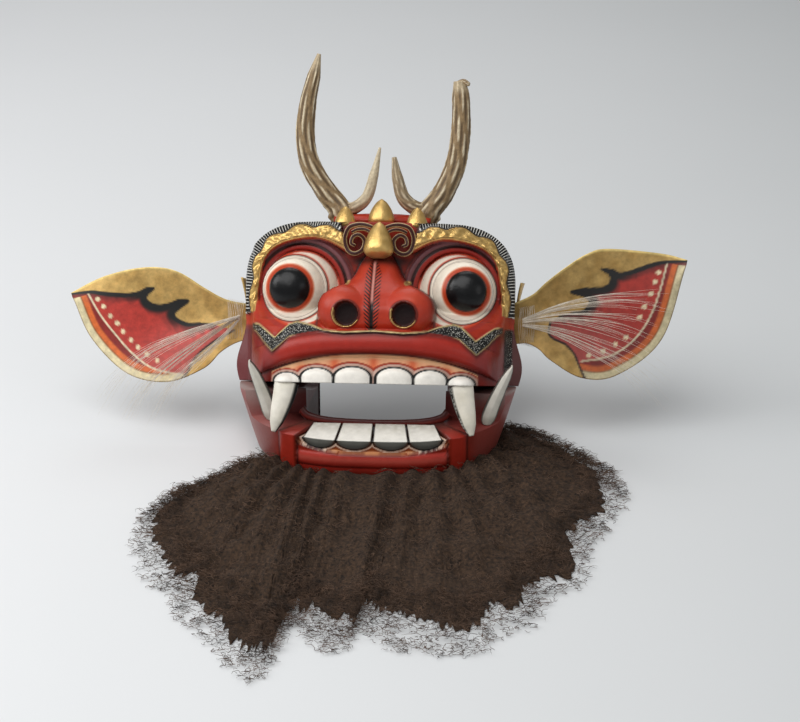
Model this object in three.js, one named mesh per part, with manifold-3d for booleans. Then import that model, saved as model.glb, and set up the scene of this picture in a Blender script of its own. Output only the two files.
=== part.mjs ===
import * as THREE from "three";
import { mergeVertices } from "three/addons/utils/BufferGeometryUtils.js";
import Module from "manifold-3d";

const wasm = await Module();
wasm.setup();

// Sizes in millimetres. The mask looks towards -Y and stands on its jaw at z = 0.
// The face is drawn in its own frame: x across, forward from the hinge, up from the cut of the mouth.
const TILT = THREE.MathUtils.degToRad(24);
const HINGE_Y = 56;
const HINGE_Z = 41;
const HINGE_R = 5;
const HINGE_INNER = 64;
const HINGE_OUTER = 100;
const GAP = 0.4;
// Vertices that change a carved form by less than this are dropped
const FINEST = 0.45;

// Face block
const FACE_TOP = 134;
const FACE_BACK = -25;
const FACE_DEPTH = 46;
const FACE_WRAP = 24;
const FACE_WRAP_POWER = 2.6;
const FACE_HALF = 112;
const CHEEK_SWELL = 8;
const CHEEK_HEIGHT = 14;
const CHEEK_SPREAD = 22;
const CROWN_FLAT = 53;
const CROWN_START = 84;
const CROWN_POWER = 2.4;
const CAVITY_HALF = 84;
const CAVITY_TOP = 112;
const CAVITY_FRONT = 26;
const CAVITY_FLOOR = 24;
const PASSAGE_FRONT_HALF = 66;
const PASSAGE_BACK_HALF = 56;
const PASSAGE_TOP = 30;
const PASSAGE_FRONT = 84;

// Muzzle, lip, gum and teeth
const MUZZLE_HALF = 105;
const MUZZLE_ROOT = 40;
const MUZZLE_FRONT = 103;
const MUZZLE_TOP = 46;
const MUZZLE_POWER = 2.6;
const LIP_HEIGHT = 33;
const LIP_DROP = 19;
const LIP_REACH = 101;
const LIP_HALF_HEIGHT = 11;
const LIP_HALF_DEPTH = 8;
const INCISORS = [
  { x: 17, half: 14, height: 13 },
  { x: 46, half: 12.5, height: 11.5 },
];
const INCISOR_PROUD = 3.5;
const INCISOR_DEPTH = 10;
const FANG_X = 71;
const FANG_TIP_X = 80.5;
const FANG_LENGTH = 40.5;
const FANG_HALF = 10;
const FANG_HALF_DEPTH = 7;
const FANG_TOP = 7;
const FANG_ROOT = 4;
const FANG_FORWARD = 92;
const FANG_TIP_FORWARD = 98;

// Moustache band
const MOUSTACHE_LINE = [
  [40, 40],
  [52, 44],
  [67, 46],
  [78, 38],
  [86, 27],
  [95, 33],
  [101, 43],
];
const MOUSTACHE_HALF = 5.5;

// Nose
const NOSE_TOP = 108;
const NOSE_TOP_FORWARD = 58;
const NOSE_BASE = 54;
const NOSE_BASE_FORWARD = 90;
const NOSE_TOP_HALF = 14;
const NOSE_BASE_HALF = 27;
const WING_X = 27;
const WING_UP = 60;
const WING_FORWARD = 88;
const WING_RADIUS = 20.5;
const NOSTRIL_X = 23.5;
const NOSTRIL_UP = 56.5;
const NOSTRIL_RADIUS = 10.8;
const NOSTRIL_FLOOR = 96;

// Eyes: lid dome, eyeball and pupil, each nested on the one before
const EYE_UP = 77.5;
const LID = { x: 62, radius: 33, forward: 38, depth: 22 };
const EYEBALL = { x: 70, radius: 27, forward: 46, depth: 22 };
const PUPIL = { x: 73, radius: 17, forward: 62, depth: 9.5 };
const LID_FOLD_RADIUS = 36.5;
const LID_FOLD_HALF = 3.5;
const LID_FOLD_PROUD = 1.5;

// Brow: crest outside, gilded leaf band inside
const CREST_LINE = [
  [113.5, 56],
  [113.5, 88],
  [108, 108],
  [95, 124],
  [75, 133.5],
  [54, 135],
  [34, 131],
];
const BROW_LINE = [
  [102, 58],
  [100, 82],
  [95, 103],
  [82, 114],
  [60, 119],
  [44, 117],
  [27, 108],
];
const BROW_STEPS = 13;
const LEAVES = 5;
const LEAF_SHARE = 0.5;
const LEAF_RISE = 0.16;
const LEAF_PROUD = 14;
const CREST_PROUD = 9;
const CREST_EDGE_PROUD = 5;
const BROW_ROOT = 12;

// Crown, cones and volutes
const CROWN_HALF = 40;
const CROWN_TOP = 143;
const CROWN_FRONT = 26;
const CROWN_BACK = -12;
const CONES = [
  { x: 0, base: 132, apex: 152, radius: 10, forward: 33 },
  { x: 30, base: 129, apex: 146, radius: 8, forward: 37 },
  { x: -30, base: 129, apex: 146, radius: 8, forward: 37 },
  { x: 0, base: 105, apex: 133, radius: 11.5, forward: 66 },
];
const VOLUTE_X = 22.5;
const VOLUTE_UP = 118;
const VOLUTE_RADIUS = 7;
const VOLUTE_HALF = 2.4;
const VOLUTE_TURNS = 1.6;
const VOLUTE_FORWARD = 53;
const VOLUTE_HALF_DEPTH = 7.5;

// Lower jaw, a blunt oval in plan whose centre is on the hinge line
const JAW_LENGTH = 112;
const JAW_FOOT_HALF = 90;
const JAW_FOOT_INSET = 9;
const JAW_FOOT_TOP = 7;
const JAW_HALF = 100;
const JAW_FLARE = 14;
const JAW_FLARE_HEIGHT = 45;
const JAW_POWER = 3;
const JAW_LIP_TOP = 27;
const JAW_GUM_TOP = 33;
const JAW_CORNER_TOP = 42;
const JAW_WALL_FRONT = 44;
const JAW_WALL_TOP = 63.5;
const JAW_SEAT = 25;
const JAW_FLOOR = 12;
const JAW_FLOOR_LENGTH = 98;
const JAW_TROUGH_START = 34;
const JAW_MOUTH_HALF = 62;
const JAW_GUM_SETBACK = 5.5;
const LOWER_TEETH = [
  { x: 15, half: 14.3 },
  { x: 43.5, half: 13.2 },
];
const LOWER_TOOTH_FRONT_TOP = 38.5;
const LOWER_TOOTH_BACK_TOP = 41.5;
const LOWER_TOOTH_BOTTOM = 29;
const LOWER_TOOTH_DEPTH = 24;
const POST_X = 69;
const POST_HALF = 7.5;
const POST_TOP = 40;
const POST_PROUD = 3;
const POST_HALF_DEPTH = 6.5;

// Tusks, flat blades that stand on the corners of the jaw
const TUSK_Y = -21.5;
const TUSK_BASE = { z: 42.6, half: 6.5 };
const TUSK_TIP = { z: 94, half: 2.2 };
// How far from the middle each tusk starts and ends
const TUSK_ACROSS = { left: [85, 102], right: [92.5, 112] };
const TUSK_THICKNESS = 7.6;

// Antlers: beam and tine as x, up and forward
const ANTLERS = {
  antler_left: {
    beam: [
      [-32, 131, 8],
      [-37, 146, 8],
      [-48, 160, 8],
      [-62, 183, 10],
      [-67, 208, 13],
      [-65, 235, 17],
      [-60, 258, 20],
      [-56, 276, 22],
    ],
    radii: [9.6, 9.6, 9, 8.4, 7.8, 7, 5.4, 2.4],
    tine: [
      [-38, 148, 8],
      [-26, 147, 10],
      [-14, 156, 14],
      [-8, 175, 18],
      [-3, 198, 22],
    ],
    tineRadii: [6, 5.4, 4.8, 4, 1.4],
  },
  antler_right: {
    beam: [
      [34, 131, 8],
      [39, 146, 8],
      [50, 161, 8],
      [60, 183, 10],
      [63.5, 204, 13],
      [64.5, 224, 16],
      [64, 243, 19],
      [62.5, 255, 21],
    ],
    radii: [9.6, 9.6, 9, 8.6, 8.2, 7.8, 7.2, 5.2],
    tine: [
      [40, 148, 8],
      [28, 148, 10],
      [17, 157, 14],
      [12, 173, 18],
      [9, 190, 22],
    ],
    tineRadii: [6.4, 6.2, 5.8, 4.8, 2.4],
    hook: [
      [60.5, 251, 20],
      [66, 253.5, 22],
      [71, 252, 24],
    ],
    hookRadii: [3.6, 3.4, 2],
  },
};

// Ears: upper and lower edge as x and up, from the root to the tip
const EARS = {
  ear_left: {
    upper: [
      [-108, 64],
      [-131, 68],
      [-149, 77],
      [-171, 90],
      [-190, 94],
      [-213, 92],
      [-240, 84],
      [-264, 71],
    ],
    lower: [
      [-108, 36],
      [-123, 31],
      [-135, 23],
      [-149, 9],
      [-180, -3],
      [-215, 4],
      [-246, 33],
      [-262, 66],
    ],
  },
  ear_right: {
    upper: [
      [108, 68],
      [127, 77],
      [139, 88],
      [154, 100],
      [172, 112],
      [190, 117],
      [235, 114],
      [257, 109],
    ],
    lower: [
      [108, 34],
      [123, 36],
      [134, 31],
      [144, 22],
      [170, 8],
      [200, 11],
      [237, 42],
      [256, 104],
    ],
  },
};
const EAR_THICKNESS = 2.4;
const EAR_ROOT_FORWARD = 3;
const EAR_TIP_FORWARD = 10;
const EAR_CUP = 9;
const EAR_STEPS = 13;
const EAR_ACROSS = 4;

// Locks of white hair over the ears as x and up
const EAR_HAIR = {
  ear_hair_left: [
    [
      [-119, 56],
      [-148, 34],
      [-184, 6],
      [-202, -18],
      [-214, -38],
    ],
    [
      [-119, 52],
      [-142, 26],
      [-168, 4],
      [-183, -18],
      [-190, -34],
    ],
    [
      [-119, 54],
      [-156, 40],
      [-196, 20],
      [-220, -4],
      [-234, -28],
    ],
  ],
  ear_hair_right: [
    [
      [120, 56],
      [150, 66],
      [186, 72],
      [220, 72],
      [246, 68],
    ],
    [
      [120, 54],
      [150, 58],
      [184, 56],
      [212, 50],
      [236, 40],
    ],
    [
      [120, 51],
      [148, 46],
      [180, 34],
      [216, 16],
      [250, -22],
    ],
  ],
};
const EAR_HAIR_FORWARD = 25;
const EAR_HAIR_ROOT_FORWARD = 12;
const EAR_HAIR_HALF = 5.5;

// Temple fins, gilded leaves against the sides of the face
const FIN_BOTTOM = 58;
const FIN_TOP = 87;
const FIN_ROOT = 113.2;
const FIN_FLARE = 3.6;
const FIN_BACK = -18;
const FIN_FRONT = 12;
const FIN_THICKNESS = 1.8;

// Beard: tips of its locks on the table, from the left of the jaw round the front to the right
const BEARD_TIPS = [
  [-97, -22],
  [-118, -36],
  [-143, -67],
  [-168, -97],
  [-183, -128],
  [-179, -181],
  [-160, -238],
  [-139, -246],
  [-133, -288],
  [-108, -316],
  [-90, -346],
  [-72, -378],
  [-60, -368],
  [-53, -325],
  [-47, -283],
  [-36, -308],
  [-17, -331],
  [-2, -322],
  [2, -284],
  [15, -312],
  [37, -328],
  [66, -331],
  [91, -330],
  [109, -307],
  [134, -284],
  [143, -243],
  [171, -222],
  [177, -157],
  [194, -126],
  [210, -69],
  [198, -23],
  [170, 13],
  [138, 47],
  [112, 54],
];
const BEARD_ROWS = 5;
// The beard is rooted along the jaw's foot between these angles and parts beside the tuft
const BEARD_LEFT = THREE.MathUtils.degToRad(152);
const BEARD_PARTING = THREE.MathUtils.degToRad(110);
const BEARD_RIGHT = THREE.MathUtils.degToRad(3);
const BEARD_LEFT_LOCKS = 12.5;
const BEARD_SWELL = 20;
const BEARD_EDGE = 4;
const BEARD_CLEAR = 0.5;
// A lock this long is as thick as any
const BEARD_FULL_RUN = 200;
// Every other line of the mat lies lower, as a furrow between two locks
const BEARD_FURROW = 0.72;

// Moves every vertex of a geometry by a rule
function shaped(geometry, rule) {
  const place = geometry.attributes.position;
  const point = new THREE.Vector3();
  for (let i = 0; i < place.count; i += 1) {
    point.fromBufferAttribute(place, i);
    rule(point);
    place.setXYZ(i, point.x, point.y, point.z);
  }
  return geometry;
}

// A closed geometry as a solid that faces outwards
function solid(geometry) {
  const bare = geometry.clone();
  bare.deleteAttribute("normal");
  bare.deleteAttribute("uv");
  const merged = mergeVertices(bare, 1e-3);
  const corners = new Uint32Array(merged.index.array);
  const vertProperties = merged.attributes.position.array;
  const made = new wasm.Manifold(new wasm.Mesh({ numProp: 3, vertProperties, triVerts: corners }));
  if (made.volume() > 0) {
    return made;
  }
  const turned = corners.map((value, i) => corners[i - (i % 3) + [0, 2, 1][i % 3]]);
  return new wasm.Manifold(new wasm.Mesh({ numProp: 3, vertProperties, triVerts: turned }));
}

// Two lists of vertices and corners back as a three.js mesh
function meshOf(name, made, material) {
  const result = made.getMesh();
  const geometry = new THREE.BufferGeometry();
  geometry.setAttribute("position", new THREE.BufferAttribute(result.vertProperties, 3));
  geometry.setIndex(new THREE.BufferAttribute(result.triVerts, 1));
  const flat = geometry.toNonIndexed();
  flat.computeVertexNormals();
  const mesh = new THREE.Mesh(flat, material);
  mesh.name = name;
  return mesh;
}

function together(solids) {
  return solids.reduce((sum, next) => sum.add(next));
}

// A point of the face: across, up and forward
function facePoint(x, up, forward) {
  return new THREE.Vector3(x, -forward, up);
}

// A smooth line through points, read by a share of its length
function lineThrough(points) {
  return new THREE.CatmullRomCurve3(points.map(([x, up]) => new THREE.Vector3(x, up, 0)));
}

// A value between the entries of a list
function along(list, share) {
  const place = share * (list.length - 1);
  const low = Math.min(Math.floor(place), list.length - 2);
  return THREE.MathUtils.lerp(list[low], list[low + 1], place - low);
}

// A capped bar bent along a curve; half sizes are given sideways and across
function limb(curve, sideways, halfA, halfB, sides, steps) {
  const geometry = new THREE.CylinderGeometry(1, 1, 1, sides, steps);
  const centre = new THREE.Vector3();
  const tangent = new THREE.Vector3();
  return shaped(geometry, (p) => {
    const share = p.y + 0.5;
    curve.getPoint(share, centre);
    curve.getTangent(share, tangent);
    const a = sideways.clone().addScaledVector(tangent, -sideways.dot(tangent)).normalize();
    const b = tangent.clone().cross(a);
    const offsetA = p.x * halfA(share);
    const offsetB = p.z * halfB(share);
    p.copy(centre).addScaledVector(a, offsetA).addScaledVector(b, offsetB);
  });
}

function ball(x, up, forward, radiusX, radiusUp, radiusForward, around, rows) {
  const geometry = new THREE.SphereGeometry(1, around, rows);
  geometry.rotateX(Math.PI / 2);
  return shaped(geometry, (p) => {
    p.set(x + p.x * radiusX, -forward + p.y * radiusForward, up + p.z * radiusUp);
  });
}

function block(lowX, highX, lowY, highY, lowZ, highZ) {
  const geometry = new THREE.BoxGeometry(highX - lowX, highY - lowY, highZ - lowZ);
  geometry.translate((lowX + highX) / 2, (lowY + highY) / 2, (lowZ + highZ) / 2);
  return geometry;
}

// Half width of the face at a height
function faceHalf(up) {
  if (up < CROWN_START) {
    return FACE_HALF + CHEEK_SWELL * Math.exp(-(((up - CHEEK_HEIGHT) / CHEEK_SPREAD) ** 2));
  }
  const rise = Math.min((up - CROWN_START) / (FACE_TOP - CROWN_START), 1);
  const share = (1 - rise ** CROWN_POWER) ** (1 / CROWN_POWER);
  return CROWN_FLAT + (FACE_HALF - CROWN_FLAT) * share;
}

// How far forward the bare face lies
function faceDepth(x, up) {
  const share = Math.min(Math.abs(x) / faceHalf(Math.min(up, FACE_TOP)), 1);
  return FACE_DEPTH - FACE_WRAP * share ** FACE_WRAP_POWER;
}

function faceBlock(spare) {
  const geometry = new THREE.BoxGeometry(2, 1, 1, 12, 1, 11);
  return shaped(geometry, (p) => {
    const up = (p.z + 0.5) * FACE_TOP;
    const half = faceHalf(up) + spare;
    const x = Math.sin((p.x * Math.PI) / 2) * half;
    const forward = THREE.MathUtils.lerp(FACE_BACK, faceDepth(x, up), 0.5 - p.y);
    p.set(x, -forward, up);
  });
}

// How far forward the muzzle reaches at a place across
function muzzleDepth(x, front) {
  const share = Math.min(Math.abs(x) / MUZZLE_HALF, 1);
  return MUZZLE_ROOT + (front - MUZZLE_ROOT) * (1 - share ** MUZZLE_POWER) ** (1 / MUZZLE_POWER);
}

function muzzle() {
  const geometry = new THREE.CylinderGeometry(1, 1, 1, 26, 4);
  return shaped(geometry, (p) => {
    const share = p.y + 0.5;
    const grow = 1 - 0.05 * Math.max(share - 0.75, 0) * 4;
    const angle = Math.atan2(p.z, p.x);
    const reach = Math.hypot(p.x, p.z);
    const cosine = Math.abs(Math.cos(angle)) ** (2 / MUZZLE_POWER) * Math.sign(Math.cos(angle));
    const sine = Math.abs(Math.sin(angle)) ** (2 / MUZZLE_POWER) * Math.sign(Math.sin(angle));
    const length = sine > 0 ? MUZZLE_FRONT - MUZZLE_ROOT : MUZZLE_ROOT - MUZZLE_HALF / 6;
    const forward = MUZZLE_ROOT + sine * reach * length * grow;
    p.set(cosine * reach * MUZZLE_HALF * grow, -forward, share * MUZZLE_TOP);
  });
}

// The lip is a roll that follows the muzzle and hangs lower at the corners
function lip() {
  const points = [];
  const count = 14;
  for (let i = 0; i <= count; i += 1) {
    const x = LIP_REACH * Math.sin(((i / count - 0.5) * Math.PI));
    const up = LIP_HEIGHT - LIP_DROP * (Math.abs(x) / LIP_REACH) ** 3;
    points.push(facePoint(x, up, muzzleDepth(x, MUZZLE_FRONT + 3)));
  }
  const curve = new THREE.CatmullRomCurve3(points);
  return limb(curve, new THREE.Vector3(0, 0, 1), () => LIP_HALF_HEIGHT, () => LIP_HALF_DEPTH, 8, 14);
}

function moustache(side) {
  const points = MOUSTACHE_LINE.map(([x, up]) => {
    return facePoint(side * x, up, muzzleDepth(x, MUZZLE_FRONT + 8));
  });
  const curve = new THREE.CatmullRomCurve3(points);
  const half = (share) => MOUSTACHE_HALF * (0.55 + 0.75 * Math.sin(Math.PI * Math.min(share + 0.15, 0.95)));
  return limb(curve, new THREE.Vector3(0, 0, 1), half, half, 4, 9);
}

// An arched tooth, flat below, turned to follow the muzzle
function incisor(side, tooth) {
  const shape = new THREE.Shape();
  shape.moveTo(-tooth.half, 0);
  shape.lineTo(tooth.half, 0);
  shape.absellipse(0, tooth.height * 0.35, tooth.half, tooth.height * 0.65, 0, Math.PI, false);
  shape.lineTo(-tooth.half, 0);
  const geometry = new THREE.ExtrudeGeometry(shape, {
    depth: INCISOR_DEPTH,
    bevelEnabled: false,
    curveSegments: 8,
  });
  geometry.rotateX(Math.PI / 2);
  const near = muzzleDepth(tooth.x - 1, MUZZLE_FRONT);
  const far = muzzleDepth(tooth.x + 1, MUZZLE_FRONT);
  geometry.rotateZ(side * Math.atan2(near - far, 2));
  const forward = muzzleDepth(tooth.x, MUZZLE_FRONT) + INCISOR_PROUD - INCISOR_DEPTH;
  geometry.translate(side * tooth.x, -forward, 0);
  return geometry;
}

// The rooted top of a fang in the gum
function fangTop(side) {
  return ball(side * FANG_X, 0.5, FANG_FORWARD, FANG_HALF, FANG_TOP, FANG_HALF_DEPTH + 2, 12, 6);
}

function fang(side) {
  const points = [0, 0.35, 0.7, 1].map((share) => {
    const x = THREE.MathUtils.lerp(FANG_X, FANG_TIP_X, share ** 1.2);
    const forward = THREE.MathUtils.lerp(FANG_FORWARD, FANG_TIP_FORWARD, share);
    return facePoint(side * x, FANG_ROOT - share * (FANG_ROOT + FANG_LENGTH), forward);
  });
  const curve = new THREE.CatmullRomCurve3(points);
  const taper = (share) => 0.22 + 0.78 * (1 - share ** 1.6);
  const halfA = (share) => FANG_HALF * taper(share);
  const halfB = (share) => FANG_HALF_DEPTH * taper(share);
  return limb(curve, new THREE.Vector3(1, 0, 0), halfA, halfB, 8, 5);
}

function noseBridge() {
  const points = [
    facePoint(0, NOSE_TOP, NOSE_TOP_FORWARD),
    facePoint(0, (NOSE_TOP + NOSE_BASE) / 2, (NOSE_TOP_FORWARD + NOSE_BASE_FORWARD) / 2),
    facePoint(0, NOSE_BASE, NOSE_BASE_FORWARD),
  ];
  const curve = new THREE.CatmullRomCurve3(points);
  const halfA = (share) => THREE.MathUtils.lerp(NOSE_TOP_HALF, NOSE_BASE_HALF, share ** 1.5);
  const halfB = (share) => THREE.MathUtils.lerp(13, 17, share);
  return limb(curve, new THREE.Vector3(1, 0, 0), halfA, halfB, 8, 5);
}

function nostril(side) {
  const geometry = new THREE.CylinderGeometry(NOSTRIL_RADIUS, NOSTRIL_RADIUS * 0.8, 40, 14);
  geometry.rotateX(Math.PI);
  geometry.translate(side * NOSTRIL_X, -NOSTRIL_FLOOR - 20, NOSTRIL_UP);
  return geometry;
}

function dome(side, part, around, rows) {
  return ball(side * part.x, EYE_UP, part.forward, part.radius, part.radius, part.depth, around, rows);
}

function lidFold(side) {
  const geometry = new THREE.TorusGeometry(LID_FOLD_RADIUS, LID_FOLD_HALF, 3, 18);
  geometry.rotateX(Math.PI / 2);
  geometry.translate(side * LID.x, 0, EYE_UP);
  return shaped(geometry, (p) => {
    p.y -= faceDepth(p.x, p.z) + LID_FOLD_PROUD;
  });
}

// One side's brow: a strip between two lines, with the leaf band proud of the crest
function brow(side) {
  const outer = lineThrough(CREST_LINE);
  const inner = lineThrough(BROW_LINE);
  const geometry = new THREE.BoxGeometry(1, 1, 1, 5, 1, BROW_STEPS);
  return shaped(geometry, (p) => {
    const share = p.z + 0.5;
    const step = Math.round((p.x + 0.5) * 5);
    const leaf = LEAF_SHARE + LEAF_RISE * Math.abs(Math.sin(Math.PI * LEAVES * share));
    const across = [0, 0.2, leaf - 0.03, leaf + 0.03, 0.85, 1][step];
    const proud = [LEAF_PROUD - 3, LEAF_PROUD, LEAF_PROUD, CREST_PROUD, CREST_PROUD, CREST_EDGE_PROUD][step];
    const low = inner.getPoint(share);
    const high = outer.getPoint(share);
    const place = low.lerp(high, across);
    const base = faceDepth(place.x, place.y);
    const forward = p.y < 0 ? base + proud : base - BROW_ROOT;
    p.set(side * place.x, -forward, place.y);
  });
}

function crown() {
  return block(-CROWN_HALF, CROWN_HALF, -CROWN_FRONT, -CROWN_BACK, FACE_TOP - 6, CROWN_TOP);
}

// A turned bud that ends in a point
function cone(part) {
  const height = part.apex - part.base;
  const profile = [
    [0, 0],
    [0.9, 0],
    [1, 0.18],
    [0.82, 0.42],
    [0.5, 0.62],
    [0.16, 0.95],
    [0, 1],
  ];
  const points = profile.map(([r, h]) => new THREE.Vector2(r * part.radius, h * height));
  const geometry = new THREE.LatheGeometry(points, 8);
  geometry.rotateX(Math.PI / 2);
  geometry.translate(part.x, -part.forward, part.base);
  return geometry;
}

// A curl that starts beside the front bud and winds inwards
function volute(side) {
  const points = [];
  const count = 18;
  for (let i = 0; i <= count; i += 1) {
    const share = i / count;
    const angle = Math.PI * (0.15 + 2 * VOLUTE_TURNS * share);
    const radius = VOLUTE_RADIUS * (1 - 0.72 * share);
    const x = VOLUTE_X - radius * Math.cos(angle);
    const up = VOLUTE_UP + radius * Math.sin(angle);
    points.push(facePoint(side * x, up, VOLUTE_FORWARD + 3 * share));
  }
  const curve = new THREE.CatmullRomCurve3(points);
  const half = () => VOLUTE_HALF;
  return limb(curve, new THREE.Vector3(0, 1, 0), () => VOLUTE_HALF_DEPTH, half, 4, 12);
}

// The hollow behind the face and the passage behind the teeth
function cavity() {
  const high = block(-CAVITY_HALF, CAVITY_HALF, -CAVITY_FRONT, -FACE_BACK + 1, CAVITY_FLOOR, CAVITY_TOP);
  const rounded = shaped(new THREE.CylinderGeometry(1, 1, 1, 24, 1), (p) => {
    const middle = (CAVITY_FLOOR + CAVITY_TOP) / 2;
    const rise = (CAVITY_TOP - CAVITY_FLOOR) / 2 + 6;
    const angle = Math.atan2(p.z, p.x);
    const reach = Math.hypot(p.x, p.z);
    const cosine = Math.abs(Math.cos(angle)) ** 0.7 * Math.sign(Math.cos(angle));
    const sine = Math.abs(Math.sin(angle)) ** 0.7 * Math.sign(Math.sin(angle));
    const y = p.y > 0 ? -FACE_BACK + 1 : -CAVITY_FRONT;
    p.set(cosine * reach * CAVITY_HALF, y, middle + sine * reach * rise);
  });
  const passage = shaped(block(-1, 1, 0, 1, 0, 1), (p) => {
    const half = THREE.MathUtils.lerp(PASSAGE_FRONT_HALF, PASSAGE_BACK_HALF, p.y);
    const y = THREE.MathUtils.lerp(-PASSAGE_FRONT, -FACE_BACK + 1, p.y);
    const narrow = p.z > 0 && p.y === 0 ? 0.7 : 1;
    const setback = p.z > 0 && p.y === 0 ? 24 : 0;
    p.set(p.x * half * narrow, y + setback, p.z > 0 ? PASSAGE_TOP + 14 : -1);
  });
  return solid(high).intersect(solid(rounded)).add(solid(passage));
}

function antlerParts(part, spare) {
  const beam = new THREE.CatmullRomCurve3(part.beam.map(([x, up, forward]) => facePoint(x, up, forward)));
  const tine = new THREE.CatmullRomCurve3(part.tine.map(([x, up, forward]) => facePoint(x, up, forward)));
  const beamHalf = (share) => along(part.radii, share) + spare;
  const tineHalf = (share) => along(part.tineRadii, share) + spare;
  const sideways = new THREE.Vector3(0, 1, 0);
  const main = solid(limb(beam, sideways, beamHalf, beamHalf, 8, 13));
  const fork = main.add(solid(limb(tine, sideways, tineHalf, tineHalf, 6, 8)));
  if (!part.hook) {
    return fork;
  }
  const hook = new THREE.CatmullRomCurve3(part.hook.map(([x, up, forward]) => facePoint(x, up, forward)));
  const hookHalf = (share) => along(part.hookRadii, share) + spare;
  return fork.add(solid(limb(hook, sideways, hookHalf, hookHalf, 6, 3)));
}

function socket(part) {
  const [x, up, forward] = part.beam[0];
  const [nextX, nextUp, nextForward] = part.beam[1];
  const low = facePoint(x, up, forward);
  const high = facePoint(nextX, nextUp, nextForward);
  const run = high.clone().sub(low).normalize();
  const curve = new THREE.LineCurve3(low.addScaledVector(run, -GAP - 0.6), high.addScaledVector(run, 2));
  const radius = part.radii[0] + GAP + 0.6;
  return solid(limb(curve, new THREE.Vector3(0, 1, 0), () => radius, () => radius, 12, 1));
}

function ear(part) {
  const upper = lineThrough(part.upper);
  const lower = lineThrough(part.lower);
  const geometry = new THREE.BoxGeometry(1, 1, 1, EAR_STEPS, 1, EAR_ACROSS);
  return shaped(geometry, (p) => {
    const share = p.x + 0.5;
    const across = p.z * 2;
    const place = lower.getPoint(share).lerp(upper.getPoint(share), p.z + 0.5);
    const cup = EAR_CUP * across ** 2 * Math.sin(Math.PI * Math.min(share + 0.12, 1));
    const lean = THREE.MathUtils.lerp(EAR_ROOT_FORWARD, EAR_TIP_FORWARD, share);
    p.set(place.x, -(lean + cup) + p.y * EAR_THICKNESS, place.y);
  });
}

function earHair(locks) {
  const half = (share) => EAR_HAIR_HALF * (0.6 + 0.5 * Math.sin(Math.PI * share) - 0.45 * share);
  return together(
    locks.map((lock, index) => {
      const points = lock.map(([x, up], i) => {
        const lift = i === 0 ? EAR_HAIR_ROOT_FORWARD : EAR_HAIR_FORWARD + 2 * index;
        return facePoint(x, up, lift);
      });
      const curve = new THREE.CatmullRomCurve3(points);
      const thin = (share) => 0.6 * half(share);
      return solid(limb(curve, new THREE.Vector3(0, 0, 1), half, thin, 4, 5));
    }),
  );
}

function templeFin(side) {
  const geometry = new THREE.BoxGeometry(1, 1, 1, 1, 4, 3);
  return shaped(geometry, (p) => {
    const share = p.z + 0.5;
    const place = p.y * 2;
    const narrow = Math.max(share, 0.12) ** 0.7;
    const middle = (FIN_BACK + FIN_FRONT) / 2;
    const forward = middle - place * narrow * ((FIN_FRONT - FIN_BACK) / 2);
    const out = FIN_ROOT + FIN_FLARE * share ** 2 + (p.x + 0.5) * FIN_THICKNESS;
    const fold = 2.2 * (1 - Math.abs(place)) * share;
    p.set(side * (out + fold), -forward, THREE.MathUtils.lerp(FIN_BOTTOM, FIN_TOP, share));
  });
}

// The jaw's oval in plan: sine is 1 at the front
function jawOval(angle, half, length) {
  const cosine = Math.abs(Math.cos(angle)) ** (2 / JAW_POWER) * Math.sign(Math.cos(angle));
  const sine = Math.abs(Math.sin(angle)) ** (2 / JAW_POWER) * Math.sign(Math.sin(angle));
  return [cosine * half, HINGE_Y - sine * length];
}

function jawLoft(low, high, halfAt, lengthAt, steps) {
  const geometry = new THREE.CylinderGeometry(1, 1, 1, 32, steps);
  return shaped(geometry, (p) => {
    const z = THREE.MathUtils.lerp(low, high, p.y + 0.5);
    const reach = Math.hypot(p.x, p.z);
    const [x, y] = jawOval(Math.atan2(p.z, p.x), halfAt(z) * reach, lengthAt(z) * reach);
    p.set(x, reach < 0.5 ? HINGE_Y : y, z);
  });
}

function jawHalfAt(z) {
  return JAW_HALF + JAW_FLARE * Math.min(z / JAW_FLARE_HEIGHT, 1.2) ** 0.9;
}

// Outline of the jaw seen from the side, as y and z, drawn across its whole width
function jawSide() {
  const front = HINGE_Y - JAW_LENGTH;
  const seatRise = JAW_SEAT * Math.tan(TILT);
  const outline = [
    [front - 5, 0],
    [front - 5, JAW_CORNER_TOP],
    [front + JAW_WALL_FRONT - 4, JAW_CORNER_TOP],
    [front + JAW_WALL_FRONT, JAW_WALL_TOP],
    [HINGE_Y - JAW_SEAT, HINGE_Z + seatRise - GAP],
    [HINGE_Y, HINGE_Z - GAP],
    [HINGE_Y, 0],
  ];
  const shape = new THREE.Shape(outline.map(([y, z]) => new THREE.Vector2(y, z)));
  const geometry = new THREE.ExtrudeGeometry(shape, { depth: 2 * 140, bevelEnabled: false });
  return shaped(geometry, (p) => p.set(p.z - 140, p.x, p.y));
}

// How far back the jaw's front lies at a place across
function jawFront(x) {
  const share = Math.min(Math.abs(x) / (JAW_HALF + 4), 1);
  return HINGE_Y - JAW_LENGTH * (1 - share ** JAW_POWER) ** (1 / JAW_POWER);
}

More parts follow.
